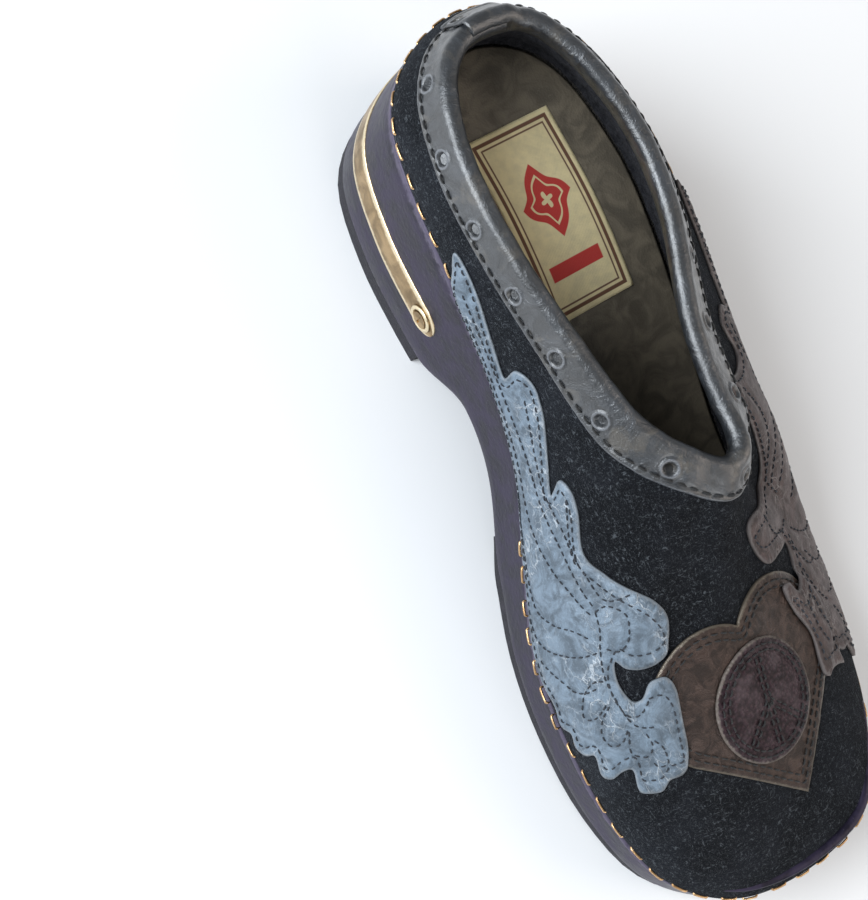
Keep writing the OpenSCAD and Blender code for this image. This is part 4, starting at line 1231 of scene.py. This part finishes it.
OUTER_FEATHERS = [
    [(20.7, 0.12), (19.8, 0.11), (19.0, 0.12), (18.4, 0.17), (17.8, 0.30), (17.3, 0.42)],
    [(20.9, 0.25), (20.1, 0.20), (19.3, 0.24), (18.6, 0.32), (18.0, 0.43), (17.4, 0.52)],
    [(19.8, 0.42), (19.2, 0.36), (18.7, 0.40), (18.1, 0.52), (17.5, 0.58), (17.2, 0.59)],
    [(19.0, 0.72), (18.6, 0.62), (18.1, 0.61), (17.6, 0.63), (17.15, 0.64)],
    [(18.8, 0.06), (18.1, 0.08), (17.5, 0.13), (17.15, 0.25), (16.85, 0.38), (16.6, 0.50)],
    [(17.4, 0.07), (17.05, 0.13), (16.75, 0.24), (16.5, 0.35), (16.4, 0.44)],
    [(15.2, 0.77), (15.35, 0.70), (15.9, 0.63), (16.63, 0.54)],
    [(17.2, 0.65), (17.15, 0.60), (17.17, 0.54)],
    [(16.27, 0.56), (16.1, 0.52), (16.2, 0.44), (16.47, 0.37)],
    [(15.8, 0.54), (15.72, 0.46), (15.9, 0.36)],
    [(15.2, 0.55), (15.1, 0.48), (15.3, 0.40)],
    [(14.83, 0.57), (14.72, 0.52), (14.8, 0.46)],
    [(16.9, 0.10), (16.5, 0.20), (16.3, 0.26), (16.1, 0.33)],
    [(15.95, 0.32), (15.98, 0.26), (15.85, 0.22), (15.72, 0.27)],
]


def heart_radius(angle, half):
    """Radius of the heart at an angle from its cleft: a square on its corner that
    carries a half circle on each upper side."""
    a = abs(math.remainder(angle, 2 * math.pi))
    lobe = half / math.sqrt(2)
    if a >= math.pi / 2:
        return half / (math.sin(a) - math.cos(a))
    return 2 * lobe / math.sqrt(2) * (math.sin(a) + math.cos(a))


def heart_line(half, share=1.0, count=240):
    turns = [2 * math.pi * k / count for k in range(count)]
    return np.array([(math.sin(t) * heart_radius(t, half) * share,
                      math.cos(t) * heart_radius(t, half) * share) for t in turns])


def inset_line(line, distance):
    """A closed line moved inwards."""
    d = np.roll(line, -1, 0) - np.roll(line, 1, 0)
    out = unit(np.stack((d[:, 1], -d[:, 0]), -1))
    area = 0.5 * np.sum(line[:, 0] * np.roll(line[:, 1], -1)
                        - np.roll(line[:, 0], -1) * line[:, 1])
    moved = line - out * distance * np.sign(area)
    keep = line_distance(moved, line, True) > abs(distance) * 0.93
    return moved[keep]


def wing_place(form):
    """The face of the suede, raised where a wing laps over the heart."""
    turn = math.radians(HEART_TURN)
    heart = heart_line(form.mm["heart_half"]) @ np.array(
        ((math.cos(turn), math.sin(turn)), (-math.sin(turn), math.cos(turn))))
    middle = np.array(HEART_MIDDLE) * (form.sx, form.sy)

    def place(flat, height):
        u, v = flat[:, 0], np.clip(flat[:, 1], 0.0, 1.0)
        ground = form.face(u, v)[:, :2] - middle
        gap = line_distance(ground, heart, True) * np.where(inside(ground, heart), -1, 1)
        lift = (form.mm["patch"] + 0.25) * (1 - smooth(-0.5, 3.5, gap))
        return form.skin(u, v, height + lift), form.normal(u, v)
    return place


def build_wing(form, rng, side):
    mm, place = form.mm, wing_place(form)
    if side < 0:
        name, node, leather = "inner", "wing_medial", wing_leather()
        outline, feathers = INNER_WING, INNER_FEATHERS
    else:
        # The outer wing gets the painted-shade copy of the wing leather.
        name, node, leather = "outer", "wing_lateral", wing_leather_painted_shade()
        outline, feathers = OUTER_WING, OUTER_FEATHERS
    shape = closed_line(np.array(outline), 7)
    rim = inset_line(shape * WING_SQUEEZE, 2.2) / WING_SQUEEZE
    seams = [open_line(np.array(f)) for f in feathers]
    rim = np.concatenate((rim, rim[:1]))
    points, faces, wear = applique(shape, place, form.gap, mm["patch"], seams + [rim])
    make_piece("wing_" + name, points, faces, leather, node, wear)
    threads = Threads()
    for seam, pitch in [(s, 2.3) for s in seams] + [(rim, 2.6)]:
        path, normals = place(seam, np.full(len(seam), form.gap + mm["patch"] - 0.3))
        threads.seam(path, normals, pitch, 1.6, 0.24, 0.05, rng)
    make_piece("wing_thread_" + name, threads.points, threads.faces,
               thread("Wing Thread", (0.018, 0.022, 0.030)), node + "_stitching")


def vault_place(form, middle=(0, 0)):
    def place(flat, height):
        x, y = (flat + middle).T
        return form.vault(x, y, height)
    return place


def build_heart(form, rng):
    mm, place = form.mm, vault_place(form)
    shape = heart_line(mm["heart_half"])
    rings = [inset_line(shape, 2.2), inset_line(shape, 4.2)]
    rings = [np.concatenate((r, r[:1])) for r in rings]
    points, faces, wear = applique(shape, place, form.gap, mm["patch"], rings, 0.35,
                                   squeeze=(1, 1))
    make_piece("heart_cut", points, faces, heart_leather(), "heart_patch", wear)
    threads = Threads()
    for ring in rings:
        path, normals = place(ring, np.full(len(ring), form.gap + mm["patch"] - 0.2))
        threads.seam(path, normals, 2.9, 2.1, 0.26, 0.05, rng)
    make_piece("heart_thread", threads.points, threads.faces, black_thread(),
               "heart_stitching")


def build_medallion(form, rng):
    mm, place = form.mm, vault_place(form, MEDALLION_MIDDLE)
    radius, under = mm["medallion"], form.gap + mm["patch"] + 0.1
    turns = np.linspace(0, 2 * math.pi, 121)
    circle = np.stack((np.sin(turns), np.cos(turns)), -1)
    shape = circle[:-1] * radius
    rings = [circle * (radius - 1.9), circle * (radius - 3.7)]
    reach = np.linspace(0, radius - 4.2, 30)[:, None]
    turn = math.radians(EMBLEM_TURN)
    emblem = np.array(((math.cos(turn), math.sin(turn)), (-math.sin(turn), math.cos(turn))))
    bar = np.array((0, 1.0)) * np.linspace(-radius + 4.2, radius - 4.2, 60)[:, None]
    strokes = [bar] + [np.array((side, -1.0)) * math.sqrt(0.5) * reach for side in (-1, 1)]
    half_gap = 0.85
    lines = rings + [(line + half_gap * np.array(across)) @ emblem
                     for line, away in zip(strokes, ((1, 0), (0.7, -0.7), (0.7, 0.7)))
                     for across in (away, (-away[0], -away[1]))]
    points, faces, wear = applique(shape, place, under, MEDALLION_THICKNESS, lines, 0.3,
                                   squeeze=(1, 1))
    make_piece("medallion_cut", points, faces, medallion_leather(), "medallion",
               wear)
    threads = Threads()
    for line in lines:
        path, normals = place(line, np.full(len(line), under + MEDALLION_THICKNESS - 0.15))
        threads.seam(path, normals, 2.7, 2.0, 0.28, 0.05, rng)
    make_piece("medallion_thread", threads.points, threads.faces, black_thread(),
               "medallion_stitching")


# ---- footbed ----

def bed_top(form):
    """Height of the footbed cover's face over the ground, slightly cupped at the edge."""
    mm = form.mm
    base = -mm["bed_depth"] + 0.1 + mm["foam"] + mm["cover"]
    line = spline(form.rim_points, ring_stations(240))

    def height(x, y):
        near = np.min(np.hypot(line[:, 0] - x, line[:, 1] - y))
        cup = 0.9 * (1 - float(smooth(11.0, 24.0, near)))
        return float(form.rim_z(y)) + base + cup - 0.3
    return height


def build_footbed(form):
    mm, top = form.mm, bed_top(form)

    def floor(x, y):
        return float(form.rim_z(y)) - mm["bed_depth"] + 0.05

    def foam_top(x, y):
        return floor(x, y) + mm["foam"] - 0.4

    def underside(x, y):
        return top(x, y) - mm["cover"] + 0.1

    points, faces = slab(form, mm["ledge"] + mm["wall"] + 0.3, foam_top, floor)
    foam = make_piece("footbed_cushion", points, faces, foam_cells(), "footbed_foam")
    inset = mm["ledge"] + mm["wall"] + 1.2 + mm["fleece"] + 0.4
    points, faces = slab(form, inset, top, underside, roll=0.5)
    make_piece("footbed_sock", points, faces, footbed_leather(), "footbed_cover")


def build_label(form):
    mm, top = form.mm, bed_top(form)
    wide, long_ = mm["label_width"], mm["label_length"]
    turn = math.radians(LABEL_PLACE[2])
    xs, ys = np.linspace(-0.5, 0.5, 33) * wide, np.linspace(-0.5, 0.5, 65) * long_
    points, weave = [], []
    for layer in (0.42, 0.12):
        for y in ys:
            for x in xs:
                px = LABEL_PLACE[0] + x * math.cos(turn) - y * math.sin(turn)
                py = LABEL_PLACE[1] + x * math.sin(turn) + y * math.cos(turn)
                wave = 0.06 * noise.noise(Vector((px / 9, py / 9, 0.5)))
                points.append((px, py, top(px, py) + layer + wave))
                weave.append((x, y, 0.0))
    n, m = len(ys), len(xs)
    half = n * m
    faces = grid(n, m) + [tuple(half + k for k in f[::-1]) for f in grid(n, m)]
    edge = list(range(m)) + [i * m + m - 1 for i in range(1, n)]
    edge += [(n - 1) * m + j for j in range(m - 2, -1, -1)] + [i * m for i in range(n - 2, 0, -1)]
    faces += [(a, b, b + half, a + half) for a, b in zip(edge, edge[1:] + edge[:1])]
    label = make_piece("label_woven", points, faces, woven_label(), "footbed_label")
    layer = label.data.attributes.new("weave", "FLOAT_VECTOR", "POINT")
    layer.data.foreach_set("vector", np.array(weave, np.float32).ravel())


# ---- operators ----

class ClogOperator:
    bl_options = {"REGISTER", "UNDO"}


class CLOG_OT_sole(ClogOperator, bpy.types.Operator):
    """Shape the lacquered wooden sole and finish its rubber treads and heel nails"""
    bl_idname = "clog.sole"
    bl_label = "Sole"

    def execute(self, context):
        build_sole(last())
        dress("outsole_front", tread_rubber())
        dress("heel_lift", tread_rubber())
        dress("heel_lift_nails", nail_steel())
        return {"FINISHED"}


class CLOG_OT_band(ClogOperator, bpy.types.Operator):
    """Bend the brass band round the heel and set its eyelets and rivets"""
    bl_idname = "clog.band"
    bl_label = "Heel Band"

    def execute(self, context):
        build_band(last())
        build_eyelets(last())
        dress("band_rivets", brass())
        return {"FINISHED"}


class CLOG_OT_upper(ClogOperator, bpy.types.Operator):
    """Last the suede over its stiffeners and line it with fleece"""
    bl_idname = "clog.upper"
    bl_label = "Upper and Lining"

    def execute(self, context):
        build_suede(last())
        build_fleece(last())
        dress("toe_puff", stiffener_board())
        dress("heel_counter", stiffener_board())
        return {"FINISHED"}


class CLOG_OT_collar(ClogOperator, bpy.types.Operator):
    """Fold the collar over the topline, punch it and stitch it"""
    bl_idname = "clog.collar"
    bl_label = "Collar"

    def execute(self, context):
        build_collar(last())
        build_collar_seam(last(), random.Random(11))
        return {"FINISHED"}


class CLOG_OT_staples(ClogOperator, bpy.types.Operator):
    """Drive the brass staples round the rim"""
    bl_idname = "clog.staples"
    bl_label = "Staples"

    def execute(self, context):
        build_staples(last(), random.Random(5))
        return {"FINISHED"}


class CLOG_OT_wings(ClogOperator, bpy.types.Operator):
    """Cut and stitch the two wings"""
    bl_idname = "clog.wings"
    bl_label = "Wings"

    def execute(self, context):
        for side in (-1, 1):
            build_wing(last(), random.Random(20 + side), side)
        return {"FINISHED"}


class CLOG_OT_heart(ClogOperator, bpy.types.Operator):
    """Cut and stitch the heart and the medallion on it"""
    bl_idname = "clog.heart"
    bl_label = "Heart and Medallion"

    def execute(self, context):
        build_heart(last(), random.Random(31))
        build_medallion(last(), random.Random(32))
        return {"FINISHED"}


class CLOG_OT_footbed(ClogOperator, bpy.types.Operator):
    """Lay the foam, the leather footbed and the woven label"""
    bl_idname = "clog.footbed"
    bl_label = "Footbed"

    def execute(self, context):
        build_footbed(last())
        build_label(last())
        return {"FINISHED"}


# ---- stage ----

CAMERA_PLACE = (-0.2337, 0.0038, 0.4805)
CAMERA_TURN = (10.87, -18.91, -24.67)
CAMERA_LENS = 66.97


def area_light(name, place, aim, size, power, tone):
    data = bpy.data.lights.new(name, "AREA")
    data.shape, data.size, data.energy, data.color = "SQUARE", size, power, tone
    lamp = bpy.data.objects.new(name, data)
    bpy.context.scene.collection.objects.link(lamp)
    lamp.location = place
    lamp.rotation_euler = (Vector(aim) - Vector(place)).to_track_quat("-Z", "Y").to_euler()


class CLOG_OT_stage(ClogOperator, bpy.types.Operator):
    """Set up the pale floor, the studio lights and the camera"""
    bl_idname = "clog.stage"
    bl_label = "Stage"

    def execute(self, context):
        scene = context.scene
        floor_mesh = bpy.data.meshes.new("studio_floor")
        s = 3.0
        floor_mesh.from_pydata([(-s, -s, 0), (s, -s, 0), (s, s, 0), (-s, s, 0)], [],
                               [(0, 1, 2, 3)])
        floor = bpy.data.objects.new("studio_floor", floor_mesh)
        scene.collection.objects.link(floor)

        def paint(b):
            tone = tuple(paints().floor)
            haze = b.noise(b.place(), 0.004, 2)
            return {"Base Color": b.mix(haze, tone, shade(tone, 0.98)), "Roughness": 0.9}
        floor_mesh.materials.append(finish_material("Studio Floor", paint))

        world = bpy.data.worlds.new("Studio")
        world.use_nodes = True
        sky = world.node_tree.nodes["Background"]
        sky.inputs[0].default_value = (0.90, 0.95, 1.0, 1)
        sky.inputs[1].default_value = 0.34
        scene.world = world
        scene.view_settings.view_transform = "Standard"
        middle = (0.0, 0.0, 0.03)
        area_light("key", (-1.15, 0.45, 0.85), middle, 1.0, 31, (0.88, 0.94, 1.0))
        area_light("fill", (0.9, -0.5, 0.9), middle, 0.9, 6, (1.0, 0.88, 0.78))
        area_light("rim", (-0.1, -1.1, 0.7), middle, 0.7, 4, (1.0, 1.0, 1.0))

        data = bpy.data.cameras.new("camera")
        data.lens, data.sensor_width, data.sensor_fit = CAMERA_LENS, 36.0, "AUTO"
        data.clip_start, data.clip_end = 0.01, 20.0
        camera = bpy.data.objects.new("camera", data)
        camera.location = CAMERA_PLACE
        camera.rotation_euler = [math.radians(a) for a in CAMERA_TURN]
        scene.collection.objects.link(camera)
        scene.camera = camera
        return {"FINISHED"}


OPERATORS = (CLOG_OT_sole, CLOG_OT_band, CLOG_OT_upper, CLOG_OT_collar, CLOG_OT_staples,
             CLOG_OT_wings, CLOG_OT_heart, CLOG_OT_footbed, CLOG_OT_stage)


class CLOG_PT_panel(bpy.types.Panel):
    """Lists the clog's pieces, sizes and colours"""
    bl_idname = "CLOG_PT_panel"
    bl_label = "Wooden Clog"
    bl_space_type = "VIEW_3D"
    bl_region_type = "UI"
    bl_category = "Clog"

    def draw(self, context):
        for operator in OPERATORS:
            self.layout.operator(operator.bl_idname)
        for group in (context.scene.clog_sizes, context.scene.clog_colours):
            box = self.layout.box()
            for key in type(group).__annotations__:
                box.prop(group, key)


CLASSES = (ClogSizes, ClogColours, *OPERATORS, CLOG_PT_panel)


def register():
    for each in CLASSES:
        bpy.utils.register_class(each)
    bpy.types.Scene.clog_sizes = PointerProperty(type=ClogSizes)
    bpy.types.Scene.clog_colours = PointerProperty(type=ClogColours)


def unregister():
    del bpy.types.Scene.clog_colours
    del bpy.types.Scene.clog_sizes
    for each in reversed(CLASSES):
        bpy.utils.unregister_class(each)


def main():
    register()
    for operator in OPERATORS:
        getattr(bpy.ops.clog, operator.bl_idname.split(".")[1])()
    bpy.context.view_layer.update()


if __name__ == "__main__":
    main()
